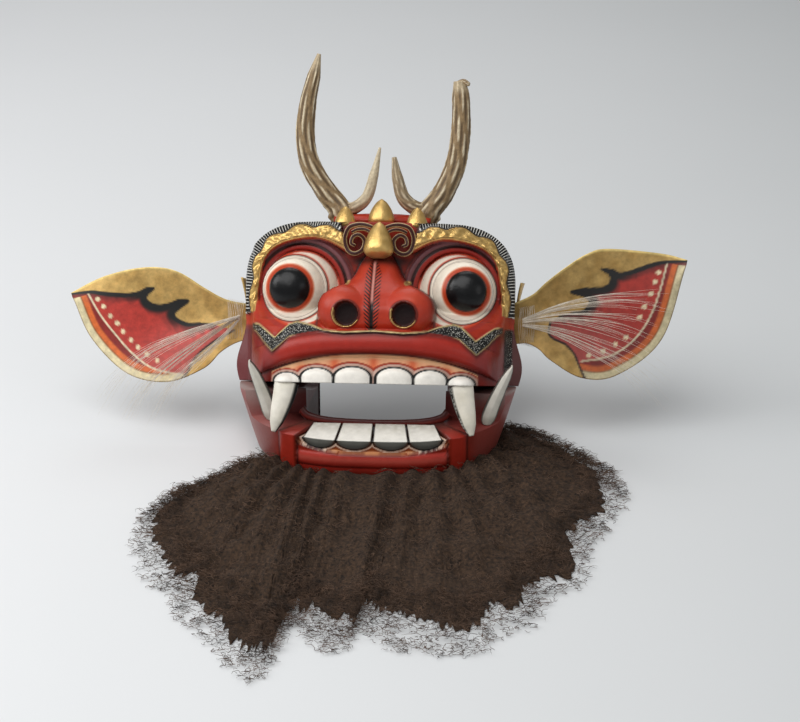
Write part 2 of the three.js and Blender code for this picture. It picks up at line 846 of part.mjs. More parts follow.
function lowerTooth(side, tooth) {
  const shape = new THREE.Shape();
  const middle = (LOWER_TOOTH_FRONT_TOP + LOWER_TOOTH_BOTTOM) / 2;
  shape.moveTo(tooth.half, middle);
  shape.lineTo(tooth.half, LOWER_TOOTH_FRONT_TOP);
  shape.lineTo(-tooth.half, LOWER_TOOTH_FRONT_TOP);
  shape.lineTo(-tooth.half, middle);
  shape.absellipse(0, middle, tooth.half, middle - LOWER_TOOTH_BOTTOM, Math.PI, 2 * Math.PI, false);
  const geometry = new THREE.ExtrudeGeometry(shape, {
    depth: LOWER_TOOTH_DEPTH,
    bevelEnabled: false,
    curveSegments: 6,
  });
  return shaped(geometry, (p) => {
    const x = side * tooth.x + p.x;
    const rise = p.y > LOWER_TOOTH_FRONT_TOP - 1 ? LOWER_TOOTH_BACK_TOP - LOWER_TOOTH_FRONT_TOP : 0;
    const share = p.z / LOWER_TOOTH_DEPTH;
    const y = THREE.MathUtils.lerp(jawFront(x) + JAW_GUM_SETBACK - 2, jawFront(0) + LOWER_TOOTH_DEPTH + 6, share);
    p.set(x, y, p.y + rise * share);
  });
}

function jawLip() {
  const points = [];
  const count = 10;
  for (let i = 0; i <= count; i += 1) {
    const x = JAW_MOUTH_HALF * (2 * (i / count) - 1);
    points.push(new THREE.Vector3(x, jawFront(x) + 3.5, JAW_LIP_TOP - 4.5));
  }
  const curve = new THREE.CatmullRomCurve3(points);
  return limb(curve, new THREE.Vector3(0, 0, 1), () => 4.5, () => 5, 8, 12);
}

function jawPost(side, spare) {
  const low = new THREE.Vector3(side * (POST_X + 1), jawFront(POST_X) + 2 - POST_PROUD, JAW_FOOT_TOP + 0.5 - spare);
  const high = new THREE.Vector3(side * POST_X, jawFront(POST_X) + 4 - POST_PROUD, POST_TOP);
  const curve = new THREE.LineCurve3(low, high);
  const half = (share) => POST_HALF * (0.7 + 0.3 * share) + spare;
  return limb(curve, new THREE.Vector3(1, 0, 0), half, () => POST_HALF_DEPTH + spare, 8, 1);
}

function lowerJaw() {
  const front = HINGE_Y - JAW_LENGTH;
  const foot = solid(
    jawLoft(0, JAW_FOOT_TOP + 1, () => JAW_FOOT_HALF, () => JAW_LENGTH - JAW_FOOT_INSET, 1),
  );
  const body = solid(jawLoft(JAW_FOOT_TOP, JAW_WALL_TOP + 5, jawHalfAt, () => JAW_LENGTH, 4));
  const outside = foot.add(body).intersect(solid(jawSide()));
  const mouthLow = block(-JAW_MOUTH_HALF, JAW_MOUTH_HALF, front - 9, front + JAW_GUM_SETBACK, JAW_LIP_TOP, 90);
  const mouthHigh = block(-JAW_MOUTH_HALF, JAW_MOUTH_HALF, front - 9, HINGE_Y, JAW_GUM_TOP, 90);
  const trough = shaped(block(-1, 1, 0, 1, 0, 1), (p) => {
    const half = THREE.MathUtils.lerp(PASSAGE_FRONT_HALF - 6, PASSAGE_BACK_HALF, p.y);
    const slope = p.z > 0 ? 6 : 0;
    p.set(p.x * (half + slope), front + JAW_TROUGH_START + p.y * 110, p.z > 0 ? 90 : JAW_FLOOR);
  });
  const gullet = block(-PASSAGE_BACK_HALF, PASSAGE_BACK_HALF, front + JAW_FLOOR_LENGTH, HINGE_Y + 9, -1, 90);
  const carved = [mouthLow, mouthHigh, trough, gullet].reduce((left, cut) => left.subtract(solid(cut)), outside);
  const added = [jawLip()];
  for (const side of [-1, 1]) {
    added.push(jawPost(side, 0));
    for (const tooth of LOWER_TEETH) {
      added.push(lowerTooth(side, tooth));
    }
    added.push(hingeBead(side, HINGE_R, 0));
  }
  return together([carved, ...added.map(solid)]);
}

// The round bead at the back of the jaw's wall, on the hinge axis of the table frame
function hingeBead(side, radius, spare) {
  const length = HINGE_OUTER - HINGE_INNER + 2 * spare;
  const geometry = new THREE.CylinderGeometry(radius, radius, length, 16);
  geometry.rotateZ(Math.PI / 2);
  geometry.translate((side * (HINGE_INNER + HINGE_OUTER)) / 2, HINGE_Y, HINGE_Z);
  return geometry;
}

function tusk(side, [start, end]) {
  const geometry = new THREE.BoxGeometry(1, 1, 1, 2, 1, 6);
  return shaped(geometry, (p) => {
    const share = p.z + 0.5;
    const half = THREE.MathUtils.lerp(TUSK_BASE.half, TUSK_TIP.half, share ** 1.8);
    const middle = THREE.MathUtils.lerp(start, end, share ** 1.25);
    const thick = TUSK_THICKNESS * (1 - 0.45 * share);
    const ridge = p.x === 0 && p.y < 0 ? 1.5 : 0;
    const z = THREE.MathUtils.lerp(TUSK_BASE.z, TUSK_TIP.z, share);
    p.set(side * (middle + p.x * 2 * half), TUSK_Y + p.y * thick - ridge, z);
  });
}

// The beard spreads from under the jaw as a mat of locks, thickest half-way out
function beard() {
  const columns = BEARD_TIPS.length - 1;
  const geometry = new THREE.BoxGeometry(1, 1, 1, columns, BEARD_ROWS, 1);
  return shaped(geometry, (p) => {
    const share = p.x + 0.5;
    const row = p.y + 0.5;
    const lock = share * columns;
    const leftShare = lock / BEARD_LEFT_LOCKS;
    const rightShare = (lock - BEARD_LEFT_LOCKS) / (columns - BEARD_LEFT_LOCKS);
    const angle =
      leftShare < 1
        ? THREE.MathUtils.lerp(BEARD_LEFT, BEARD_PARTING, leftShare)
        : THREE.MathUtils.lerp(BEARD_PARTING, BEARD_RIGHT, rightShare);
    const [rootX, rootY] = jawOval(angle, JAW_FOOT_HALF + GAP, JAW_LENGTH - JAW_FOOT_INSET + GAP);
    const [tipX, tipY] = BEARD_TIPS[Math.round(lock)];
    const furrow = Math.round(lock) % 2 === 0 ? BEARD_FURROW : 1;
    const full = furrow * Math.min(Math.hypot(tipX - rootX, tipY - rootY) / BEARD_FULL_RUN, 1);
    const reach = row ** 1.15;
    const x = THREE.MathUtils.lerp(rootX, tipX, reach);
    const y = THREE.MathUtils.lerp(rootY, tipY, reach);
    const swell = BEARD_EDGE + BEARD_SWELL * full * Math.max(Math.sin(Math.PI * row ** 0.55), 0) ** 0.8;
    const top = row < 0.01 ? JAW_FOOT_TOP - 1 : swell;
    p.set(x, y, p.z > 0 ? top : BEARD_CLEAR);
  });
}

// Materials
function paint(color, roughness, metalness) {
  return new THREE.MeshStandardMaterial({ color, roughness, metalness });
}

// The face is joined in its own frame, then turned back on the hinge
const head = new THREE.Group();
head.name = "head";
head.position.set(0, HINGE_Y, HINGE_Z);
head.rotation.x = -TILT;

const faceForms = [faceBlock(0), muzzle(), lip(), noseBridge(), crown(), ...CONES.map(cone)];
faceForms.push(ball(0, 50, 92, 17, 13, 13, 10, 6));
for (const side of [-1, 1]) {
  faceForms.push(brow(side));
  faceForms.push(moustache(side));
  faceForms.push(ball(side * WING_X, WING_UP, WING_FORWARD, WING_RADIUS, WING_RADIUS, WING_RADIUS, 12, 7));
  faceForms.push(dome(side, LID, 16, 8));
  faceForms.push(dome(side, EYEBALL, 16, 8));
  faceForms.push(dome(side, PUPIL, 12, 6));
  faceForms.push(lidFold(side));
  faceForms.push(volute(side));
  faceForms.push(fangTop(side));
  for (const tooth of INCISORS) {
    faceForms.push(incisor(side, tooth));
  }
}
const groove = (side) => {
  const geometry = hingeBead(side, HINGE_R + GAP, 1);
  geometry.translate(0, -HINGE_Y, -HINGE_Z);
  return solid(geometry);
};
const below = solid(block(-200, 200, -200, 200, -60, 0));
let face = together(faceForms.map(solid)).simplify(FINEST).subtract(below).subtract(cavity());
for (const side of [-1, 1]) {
  face = face.subtract(solid(nostril(side))).subtract(groove(side));
}
for (const part of Object.values(ANTLERS)) {
  face = face.subtract(socket(part)).subtract(antlerParts(part, GAP));
}
const faceRoom = solid(faceBlock(GAP));
const underCut = solid(block(-200, 200, -200, 200, -60, -GAP));

head.add(meshOf("mask_face", face, paint(0x9c1f1a, 0.4, 0)));
for (const [name, side] of Object.entries({ left: -1, right: 1 })) {
  head.add(meshOf(`fang_${name}`, solid(fang(side)).intersect(underCut), paint(0xd9d2c0, 0.5, 0)));
  head.add(meshOf(`temple_fin_${name}`, solid(templeFin(side)).subtract(faceRoom), paint(0xb98a33, 0.4, 0.8)));
}
for (const [name, part] of Object.entries(ANTLERS)) {
  head.add(meshOf(name, antlerParts(part, 0), paint(0x6e5238, 0.7, 0)));
}
for (const [name, part] of Object.entries(EARS)) {
  head.add(meshOf(name, solid(ear(part)).subtract(faceRoom), paint(0xa8803a, 0.5, 0.3)));
}
for (const [name, locks] of Object.entries(EAR_HAIR)) {
  head.add(meshOf(name, earHair(locks).subtract(faceRoom), paint(0xc9c4ba, 0.9, 0)));
}

const jaw = new THREE.Group();
jaw.name = "jaw";
jaw.add(meshOf("lower_jaw", lowerJaw(), paint(0x9c1f1a, 0.4, 0)));
const jawRoom = solid(
  jawLoft(JAW_FOOT_TOP - GAP, JAW_WALL_TOP, (z) => jawHalfAt(z) + GAP, () => JAW_LENGTH + GAP, 4),
);
const postRoom = [-1, 1].map((side) => solid(jawPost(side, 2 * GAP)));
const hair = postRoom.reduce((left, post) => left.subtract(post), solid(beard()).subtract(jawRoom));
jaw.add(meshOf("beard", hair.simplify(FINEST), paint(0x2b1f18, 0.9, 0)));
for (const [name, side] of Object.entries({ left: -1, right: 1 })) {
  jaw.add(meshOf(`tusk_${name}`, solid(tusk(side, TUSK_ACROSS[name])), paint(0xcfc8b6, 0.5, 0)));
}

const mask = new THREE.Group();
mask.name = "barong_mask";
mask.add(jaw);
mask.add(head);

export default mask;
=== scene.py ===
import math

import bmesh
import bpy
import numpy as np
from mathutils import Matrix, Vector


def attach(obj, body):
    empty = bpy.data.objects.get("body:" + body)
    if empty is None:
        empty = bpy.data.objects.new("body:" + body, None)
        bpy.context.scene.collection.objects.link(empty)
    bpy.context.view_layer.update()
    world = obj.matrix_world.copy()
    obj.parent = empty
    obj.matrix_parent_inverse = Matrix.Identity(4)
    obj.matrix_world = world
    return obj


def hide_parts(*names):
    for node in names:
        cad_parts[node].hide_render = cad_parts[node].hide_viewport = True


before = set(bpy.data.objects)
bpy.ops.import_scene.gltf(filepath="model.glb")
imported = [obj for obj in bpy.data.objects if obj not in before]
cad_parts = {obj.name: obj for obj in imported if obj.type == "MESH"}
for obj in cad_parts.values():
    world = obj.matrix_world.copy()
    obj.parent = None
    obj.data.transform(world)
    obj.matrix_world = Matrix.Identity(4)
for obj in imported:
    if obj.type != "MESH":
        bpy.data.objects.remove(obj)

bl_info = {
    "name": "Barong mask",
    "version": (1, 0, 0),
    "blender": (4, 5, 0),
    "location": "3D View > Sidebar > Barong mask",
    "description": "Carves and paints a barong mask with ears, antlers and beard",
    "category": "Add Mesh",
}

# Sizes are in millimetres and become metres where a vertex is placed.
# The face has its own frame: x across, up from the cut of the mouth, forward from the hinge.
MM = 0.001
TILT = math.radians(24)
HINGE_Y = 56.0
HINGE_Z = 41.0
HINGE_R = 5
HINGE_ACROSS = (64, 82, 100)

FACE_TOP = 134.0
FACE_BACK = -25.0
EYE_UP = 77.5
LID_X = 64.5
LID_R = 32.0
BALL_X = 70
BALL_R = 27
PUPIL_X = 73
PUPIL_R = 17
NOSTRIL_X = 23.5
NOSTRIL_UP = 56.5
CREST_LINE = [(113.5, 56), (113.5, 88), (108, 108), (95, 124), (75, 133.5), (54, 135), (34, 131)]
BROW_LINE = [(102, 58), (100, 82), (95, 103), (82, 114), (60, 119), (44, 117), (27, 108)]
LEAVES = 5
MOUSTACHE_ACROSS = [0, 12, 24, 34, 43, 52, 64, 70, 76, 82, 90, 97, 103]
MOUSTACHE_TOP = [43, 42.3, 41.5, 42.2, 43.5, 47, 49.5, 47.5, 42, 36, 42, 47, 48]
MOUSTACHE_LOW_ACROSS = [0, 24, 43, 55, 69, 76, 83, 91, 99, 103]
MOUSTACHE_LOW = [42, 40.6, 42, 41, 37.5, 31, 25, 32, 41, 43]
INCISORS = [(17, 14, 13), (46, 12.5, 11.5)]
FANG_X = 71.0
FANG_LINE = [(71, -0.45, 92), (73.2, -12, 94), (77, -27, 96), (80.5, -40.5, 98)]

JAW_LENGTH = 112.0
JAW_MOUTH_HALF = 62.0
JAW_POWER = 3.0
JAW_TOP_HALF = 112.0
JAW_HALF = 100
JAW_FLARE = 14
JAW_FLARE_HEIGHT = 45
JAW_FOOT_HALF = 90
JAW_FOOT_INSET = 9
JAW_FOOT_TOP = 7
JAW_FRONT_END = -16
TROUGH_HALF = 61.0
POST_X = 69
LOWER_TEETH = [(15, 14.3), (43.5, 13.2)]

ANTLERS = {
    "antler_left": {
        "beam": [(-32, 131, 8), (-37, 146, 8), (-48, 160, 8), (-62, 183, 10), (-67, 208, 13),
                 (-65, 235, 17), (-60, 258, 20), (-56, 276, 22)],
        "beam_radius": [9.6, 9.6, 9, 8.4, 7.8, 7, 5.4, 1.6],
        "tine": [(-38, 148, 8), (-26, 147, 10), (-14, 156, 14), (-8, 175, 18), (-3, 198, 22)],
        "tine_radius": [6, 5.4, 4.8, 4, 1],
        "ivory_tine": 0.85,
    },
    "antler_right": {
        "beam": [(34, 131, 8), (39, 146, 8), (50, 161, 8), (60, 183, 10), (63.5, 204, 13),
                 (64.5, 224, 16), (64, 243, 19), (62.5, 255, 21)],
        "beam_radius": [9.6, 9.6, 9, 8.6, 8.2, 7.8, 7.2, 5.0],
        "tine": [(40, 148, 8), (28, 148, 10), (17, 157, 14), (12, 173, 18), (9, 190, 22)],
        "tine_radius": [6.4, 6.2, 5.8, 4.8, 2],
        "ivory_tine": 0.25,
        "hook": [(60.5, 251, 20), (66, 253.5, 22), (71, 252, 24)],
        "hook_radius": [3.6, 3.4, 1.6],
    },
}

# An ear's light darkens all the paint on its face as painted shade: the right ear's is 0.72
EARS = {
    "ear_left": {
        "upper": [(-108, 64), (-131, 68), (-149, 77), (-171, 90), (-190, 94), (-213, 92), (-240, 84),
                  (-264, 71)],
        "lower": [(-108, 36), (-123, 31), (-135, 23), (-149, 9), (-180, -3), (-215, 4), (-246, 33),
                  (-262, 66)],
        "wave": [(-264, 70), (-248, 72), (-238, 71), (-226, 70), (-215, 70), (-206, 72), (-199, 76),
                 (-193, 76), (-199, 71), (-200, 66), (-195, 62), (-188, 61), (-180, 63), (-171, 67),
                 (-164, 66), (-172, 60), (-177, 55), (-174, 50), (-164, 46), (-153, 47), (-143, 47)],
        "flap": [(-125, 42), (-137, 35), (-148, 27), (-155, 20), (-159, 14), (-163, 5), (-171, -4)],
        "dots": [(-241, 66), (-236, 60), (-230, 52), (-224, 46), (-219, 39), (-212, 32), (-206, 26),
                 (-198, 20), (-189, 15)],
        "cream": [(-249, 70), (-238, 52), (-225, 36), (-212, 22), (-196, 10), (-179, 5), (-166, 4)],
        "light": 1.0,
    },
    "ear_right": {
        "upper": [(108, 68), (127, 77), (139, 88), (154, 100), (172, 112), (190, 117), (235, 114),
                  (257, 109)],
        "lower": [(108, 34), (123, 36), (134, 31), (144, 22), (170, 8), (200, 11), (237, 42), (256, 104)],
        "wave": [(258, 108), (240, 107), (230, 105), (219, 101), (208, 97), (200, 96), (195, 99),
                 (185, 100), (192, 96), (194, 92), (193, 87), (188, 84), (180, 83), (170, 83),
                 (160, 80), (172, 77), (177, 72), (174, 66), (169, 63), (160, 62), (150, 59)],
        "flap": [(143, 54), (142, 45), (147, 40), (156, 36), (163, 29), (166, 23), (169, 16), (174, 5)],
        "dots": [(233, 98), (230, 90), (227, 80), (222, 69), (218, 60), (207, 43), (198, 37), (188, 31),
                 (176, 27)],
        "cream": [(240, 106), (235, 85), (229, 66), (220, 49), (207, 35), (191, 26), (170, 22)],
        "light": 0.72,
    },
}

EAR_HAIR = {
    "ear_hair_left": [
        [(-119, 54), (-148, 34), (-184, 6), (-202, -16), (-214, -40)],
        [(-119, 52), (-142, 26), (-168, 4), (-183, -18), (-190, -36)],
        [(-119, 54), (-156, 40), (-196, 20), (-220, -4), (-234, -30)],
    ],
    "ear_hair_right": [
        [(120, 56), (150, 66), (186, 72), (220, 72), (246, 68)],
        [(120, 54), (150, 58), (184, 56), (212, 50), (236, 40)],
        [(120, 51), (148, 46), (180, 34), (216, 16), (246, -14)],
    ],
}

BEARD_TIPS = [
    (-97, -22), (-118, -36), (-143, -67), (-168, -97), (-183, -128), (-179, -181), (-160, -238),
    (-139, -246), (-133, -288), (-108, -316), (-90, -346), (-72, -378), (-60, -368), (-53, -325),
    (-47, -283), (-36, -308), (-17, -331), (-2, -322), (2, -284), (15, -312), (37, -328), (66, -331),
    (91, -330), (109, -307), (134, -284), (143, -243), (171, -222), (177, -157), (194, -126),
    (210, -69), (198, -23), (170, 13), (138, 47), (112, 54),
]
BEARD_LEFT_LOCKS = 12.5
# Degrees round the jaw at the left end, the parting and the right end of the beard
BEARD_TURN = [152, 110, 3]
BEARD_ROOT_HALF = 88.0
BEARD_ROOT_LENGTH = 101.0
BEARD_EDGE = 4
BEARD_SWELL = 20
BEARD_FULL_RUN = 200
MAT_COLUMNS = 420
MAT_ROWS = 26
HAIR_POINTS = 6
BEARD_HAIR_WIDTH = 0.4
TUSK_ACROSS = {"tusk_left": (-1, 85, 102), "tusk_right": (1, 92.5, 112)}

# Where the camera looks, and its lens
VIEW_AIM = (17.0, 54.6, 62.4)
VIEW_LENS = 117.2

# Nose: half width, front and fall towards its sides at heights
NOSE_UP = [38, 44, 50, 60, 66, 72, 77, 83, 90, 99, 107]
NOSE_HALF = [38, 46, 47.5, 47.4, 46.5, 43, 36, 25, 19, 15, 10]
NOSE_FRONT = [94, 101, 105, 106, 103, 99, 94, 87, 79, 69, 60]
NOSE_FALL = [16, 24, 28, 27, 26, 25, 24, 22, 19, 14, 8]
RIDGE_X = -2.6


def linear(code):
    """A colour as the shader reads it, from its sRGB hex code."""
    values = np.array([int(code[i:i + 2], 16) / 255 for i in (1, 3, 5)])
    return np.where(values <= 0.04045, values / 12.92, ((values + 0.055) / 1.055) ** 2.4)


# Paints
VERMILION = linear("#A62C15")
DEEP_RED = linear("#84200F")
OXBLOOD = linear("#45120C")
# Painted sheen: the purple-grey that light gives the glossy red
PLUM_SHEEN = linear("#6B3A3C")
MAROON = linear("#2A0A0B")
BLACK = linear("#121110")
STIPPLE = linear("#B4B3AA")
GOLD = linear("#E2BE78")
OLD_GOLD = linear("#B48C4A")
CREAM = linear("#F0E6D4")
WHITE = linear("#F3EEE4")
BONE = linear("#D9D2C0")
ORANGE = linear("#E0653A")
PEACH = linear("#F7B588")
PINK = linear("#C2A090")
RUST = linear("#9A3A24")
RAWHIDE = linear("#8A6A45")


# Shaping helpers

def from_face(x, up, forward):
    """Points of the tilted face in the table frame, in metres."""
    y = HINGE_Y - forward * math.cos(TILT) + up * math.sin(TILT)
    z = HINGE_Z + forward * math.sin(TILT) + up * math.cos(TILT)
    return np.stack([x, y, z], axis=-1) * MM


def from_table(x, y, z):
    """Points of the table frame, in metres."""
    return np.stack([x, y, z], axis=-1) * MM


def smooth_line(points, count):
    """A curve through points, sampled evenly in its parameter."""
    given = np.array(points, float)
    padded = np.vstack([2 * given[0] - given[1], given, 2 * given[-1] - given[-2]])
    place = np.linspace(0, len(given) - 1, count)
    low = np.minimum(place.astype(int), len(given) - 2)
    f = (place - low)[:, None]
    a, b, c, d = padded[low], padded[low + 1], padded[low + 2], padded[low + 3]
    curve = (2 * a - 5 * b + 4 * c - d) * f ** 2 + (3 * b - a - 3 * c + d) * f ** 3
    return 0.5 * (2 * b + (c - a) * f + curve)


def nearest(line, x, up):
    """Distance to a line and the share of the line at its nearest point."""
    best = np.full(x.shape, 1e9)
    share = np.zeros(x.shape)
    count = len(line) - 1
    for k in range(count):
        run = line[k + 1] - line[k]
        length = max(run @ run, 1e-9)
        t = np.clip(((x - line[k, 0]) * run[0] + (up - line[k, 1]) * run[1]) / length, 0, 1)
        gap = np.hypot(x - line[k, 0] - t * run[0], up - line[k, 1] - t * run[1])
        closer = gap < best
        best = np.where(closer, gap, best)
        share = np.where(closer, (k + t) / count, share)
    return best, share


def inside(outline, x, up):
    """True where a point lies in a closed outline."""
    found = np.zeros(x.shape, bool)
    previous = outline[-1]
    for corner in outline:
        spans = (corner[1] > up) != (previous[1] > up)
        rise = previous[1] - corner[1]
        safe_rise = rise if abs(rise) > 1e-9 else 1e-9
        cross = corner[0] + (previous[0] - corner[0]) * (up - corner[1]) / safe_rise
        found ^= spans & (x < cross)
        previous = corner
    return found


def swell(a, b, blend):
    """The larger of two forms with a soft joint."""
    near = np.maximum(blend - np.abs(a - b), 0) / blend
    return np.maximum(a, b) + near * near * blend / 4


def bulge(share):
    """Height of a round form of radius one at a squared distance."""
    return np.sqrt(np.maximum(1 - share, 0))


def edge(distance, width):
    """0 outside, 1 inside, soft over a width."""
    t = np.clip(0.5 + distance / width, 0, 1)
    return t * t * (3 - 2 * t)


def chance(a, b, seed):
    """A repeatable number from 0 to 1 for each pair of whole numbers."""
    wave = np.sin(a * 127.1 + b * 311.7 + seed * 74.7) * 43758.5453
    return wave - np.floor(wave)


def cloud(x, y, size, seed):
    """Soft noise from 0 to 1 with lumps of a size."""
    gx, gy = x / size, y / size
    ix, iy = np.floor(gx), np.floor(gy)
    fx, fy = gx - ix, gy - iy
    fx, fy = fx * fx * (3 - 2 * fx), fy * fy * (3 - 2 * fy)
    low = chance(ix, iy, seed) * (1 - fx) + chance(ix + 1, iy, seed) * fx
    high = chance(ix, iy + 1, seed) * (1 - fx) + chance(ix + 1, iy + 1, seed) * fx
    return low * (1 - fy) + high * fy


class Coat:
    """Colour, gilding, gloss and brush marks that build up on a surface."""

    def __init__(self, count, colour):
        self.colour = np.tile(colour, (count, 1))
        self.gilt = np.zeros(count)
        self.gloss = np.zeros(count)
        # Place along a row of strokes, then how much pale stroke, pale dot and dark stroke shows
        self.marks = np.zeros((count, 4))

    def lay(self, colour, mask, gilt=0.0, gloss=0.0):
        mask = np.broadcast_to(np.asarray(mask, float), self.gilt.shape)
        self.colour += (colour - self.colour) * mask[:, None]
        self.gilt += (gilt - self.gilt) * mask
        self.gloss += (gloss - self.gloss) * mask
        self.marks[:, 1:] *= (1 - mask)[:, None]

    def mark(self, kind, mask, along=None):
        self.marks[:, kind] = np.maximum(self.marks[:, kind], mask)
        if along is not None:
            self.marks[:, 0] = np.where(mask > 0.02, along, self.marks[:, 0])

    def shade(self, factor):
        self.colour *= np.asarray(factor)[:, None]


def blank():
    """An empty form that can take paint."""
    bm = bmesh.new()
    bm.verts.layers.float_color.new("paint")
    bm.verts.layers.float_color.new("marks")
    bm.verts.layers.float.new("gloss")
    return bm


def slab(bm, columns, rows):
    """A plate of quads; returns the vertices of its front and back with their shares across and along."""
    made = bmesh.ops.create_grid(bm, x_segments=columns, y_segments=rows, size=0.5)
    back = made["verts"]
    faces = list({face for vert in back for face in vert.link_faces})
    raised = bmesh.ops.extrude_face_region(bm, geom=faces, use_keep_orig=True)
    front = [item for item in raised["geom"] if isinstance(item, bmesh.types.BMVert)]
    sides = []
    for verts in (front, back):
        flat = np.array([vert.co[:2] for vert in verts]) + 0.5
        sides.append((verts, flat[:, 0], flat[:, 1]))
    return sides


def place(bm, verts, spots, coat):
    """Moves vertices and gives them their paint."""
    paint = bm.verts.layers.float_color["paint"]
    marks = bm.verts.layers.float_color["marks"]
    gloss = bm.verts.layers.float["gloss"]
    colours = np.clip(np.column_stack([coat.colour, coat.gilt]), 0, 1)
    for vert, spot, colour, mark, shine in zip(verts, spots, colours, coat.marks, coat.gloss):
        vert.co = spot
        vert[paint] = colour
        vert[marks] = mark
        vert[gloss] = shine


def bar(bm, points, radius, columns, rows, painter, to=from_face, flat=1.0, side=(0, 0, 1), carve=None):
    """A round bar along a curve; flat is its other half size as a share, carve roughens it."""
    count = rows * 2 + 1
    line = smooth_line(points, count)
    shares = np.linspace(0, 1, count)
    run = np.gradient(line, axis=0)
    run /= np.linalg.norm(run, axis=1)[:, None]
    across = np.array(side, float) - (run @ np.array(side, float))[:, None] * run
    across /= np.linalg.norm(across, axis=1)[:, None]
    other = np.cross(run, across)
    radii = np.interp(shares, np.linspace(0, 1, len(radius)), radius)
    for sign, (verts, u, t) in zip((1, -1), slab(bm, columns, rows)):
        angle = sign * math.pi * u
        lift = carve(angle, t) if carve else 1.0
        centre = np.column_stack([np.interp(t, shares, line[:, k]) for k in range(3)])
        first = np.column_stack([np.interp(t, shares, across[:, k]) for k in range(3)])
        second = np.column_stack([np.interp(t, shares, other[:, k]) for k in range(3)])
        half = np.interp(t, shares, radii) * lift
        spot = centre + first * (np.cos(angle) * half)[:, None]
        spot = spot + second * (np.sin(angle) * half * flat)[:, None]
        place(bm, verts, to(spot[:, 0], spot[:, 1], spot[:, 2]), painter(angle, t, spot))


def keep(bm, name, finish, body, nodes):
    """Makes a mesh piece, hangs it on its body and lets it stand for CAD nodes."""
    bmesh.ops.remove_doubles(bm, verts=bm.verts[:], dist=1e-6)
    bmesh.ops.recalc_face_normals(bm, faces=bm.faces[:])
    for face in bm.faces:
        face.smooth = True
    mesh = bpy.data.meshes.new(name)
    bm.to_mesh(mesh)
    bm.free()
    return hang(mesh, name, finish, body, nodes)


def hang(mesh, name, finish, body, nodes):
    piece = bpy.data.objects.new(name, mesh)
    bpy.context.scene.collection.objects.link(piece)
    mesh.materials.clear()
    mesh.materials.append(finish)
    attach(piece, body)
    if nodes:
        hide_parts(*nodes)
    return piece


def hairs(name, paths, width, finish, body, nodes):
    """Many thin tapering tubes as one mesh; each path is an array of points in metres."""
    curve = bpy.data.curves.new(name, "CURVE")
    curve.dimensions = "3D"
    curve.bevel_depth = width / 2 * MM
    curve.bevel_resolution = 0
    curve.use_fill_caps = True
    for path in paths:
        taper = np.interp(np.linspace(0, 1, len(path)), [0, 0.6, 1], [1, 0.9, 0.25])
        spline = curve.splines.new("POLY")
        spline.points.add(len(path) - 1)
        spline.points.foreach_set("co", np.column_stack([path, np.ones(len(path))]).ravel())
        spline.points.foreach_set("radius", taper)
    holder = bpy.data.objects.new(name + "_paths", curve)
    bpy.context.scene.collection.objects.link(holder)
    view = bpy.context.evaluated_depsgraph_get()
    mesh = bpy.data.meshes.new_from_object(holder.evaluated_get(view))
    mesh.name = name
    bpy.data.objects.remove(holder)
    bpy.data.curves.remove(curve)
    return hang(mesh, name, finish, body, nodes)


# Materials

def node(tree, kind, settings=None, **inputs):
    """Adds a node, sets its options and fills or links its inputs."""
    made = tree.nodes.new(kind)
    for option, value in (settings or {}).items():
        setattr(made, option, value)
    for label, value in inputs.items():
        numbered = label[0] == "i" and label[1:].isdigit()
        socket = made.inputs[int(label[1:]) if numbered else label.replace("_", " ")]
        if isinstance(value, bpy.types.NodeSocket):
            tree.links.new(value, socket)
        else:
            socket.default_value = value
    return made


def math_node(tree, operation, first, second=0.0):
    """Adds a node that reckons with two numbers and gives its result."""
    return node(tree, "ShaderNodeMath", {"operation": operation}, i0=first, i1=second).outputs[0]


def new_finish(name):
    material = bpy.data.materials.new(name)
    material.use_nodes = True
    tree = material.node_tree
    shader = tree.nodes["Principled BSDF"]
    return material, tree, shader


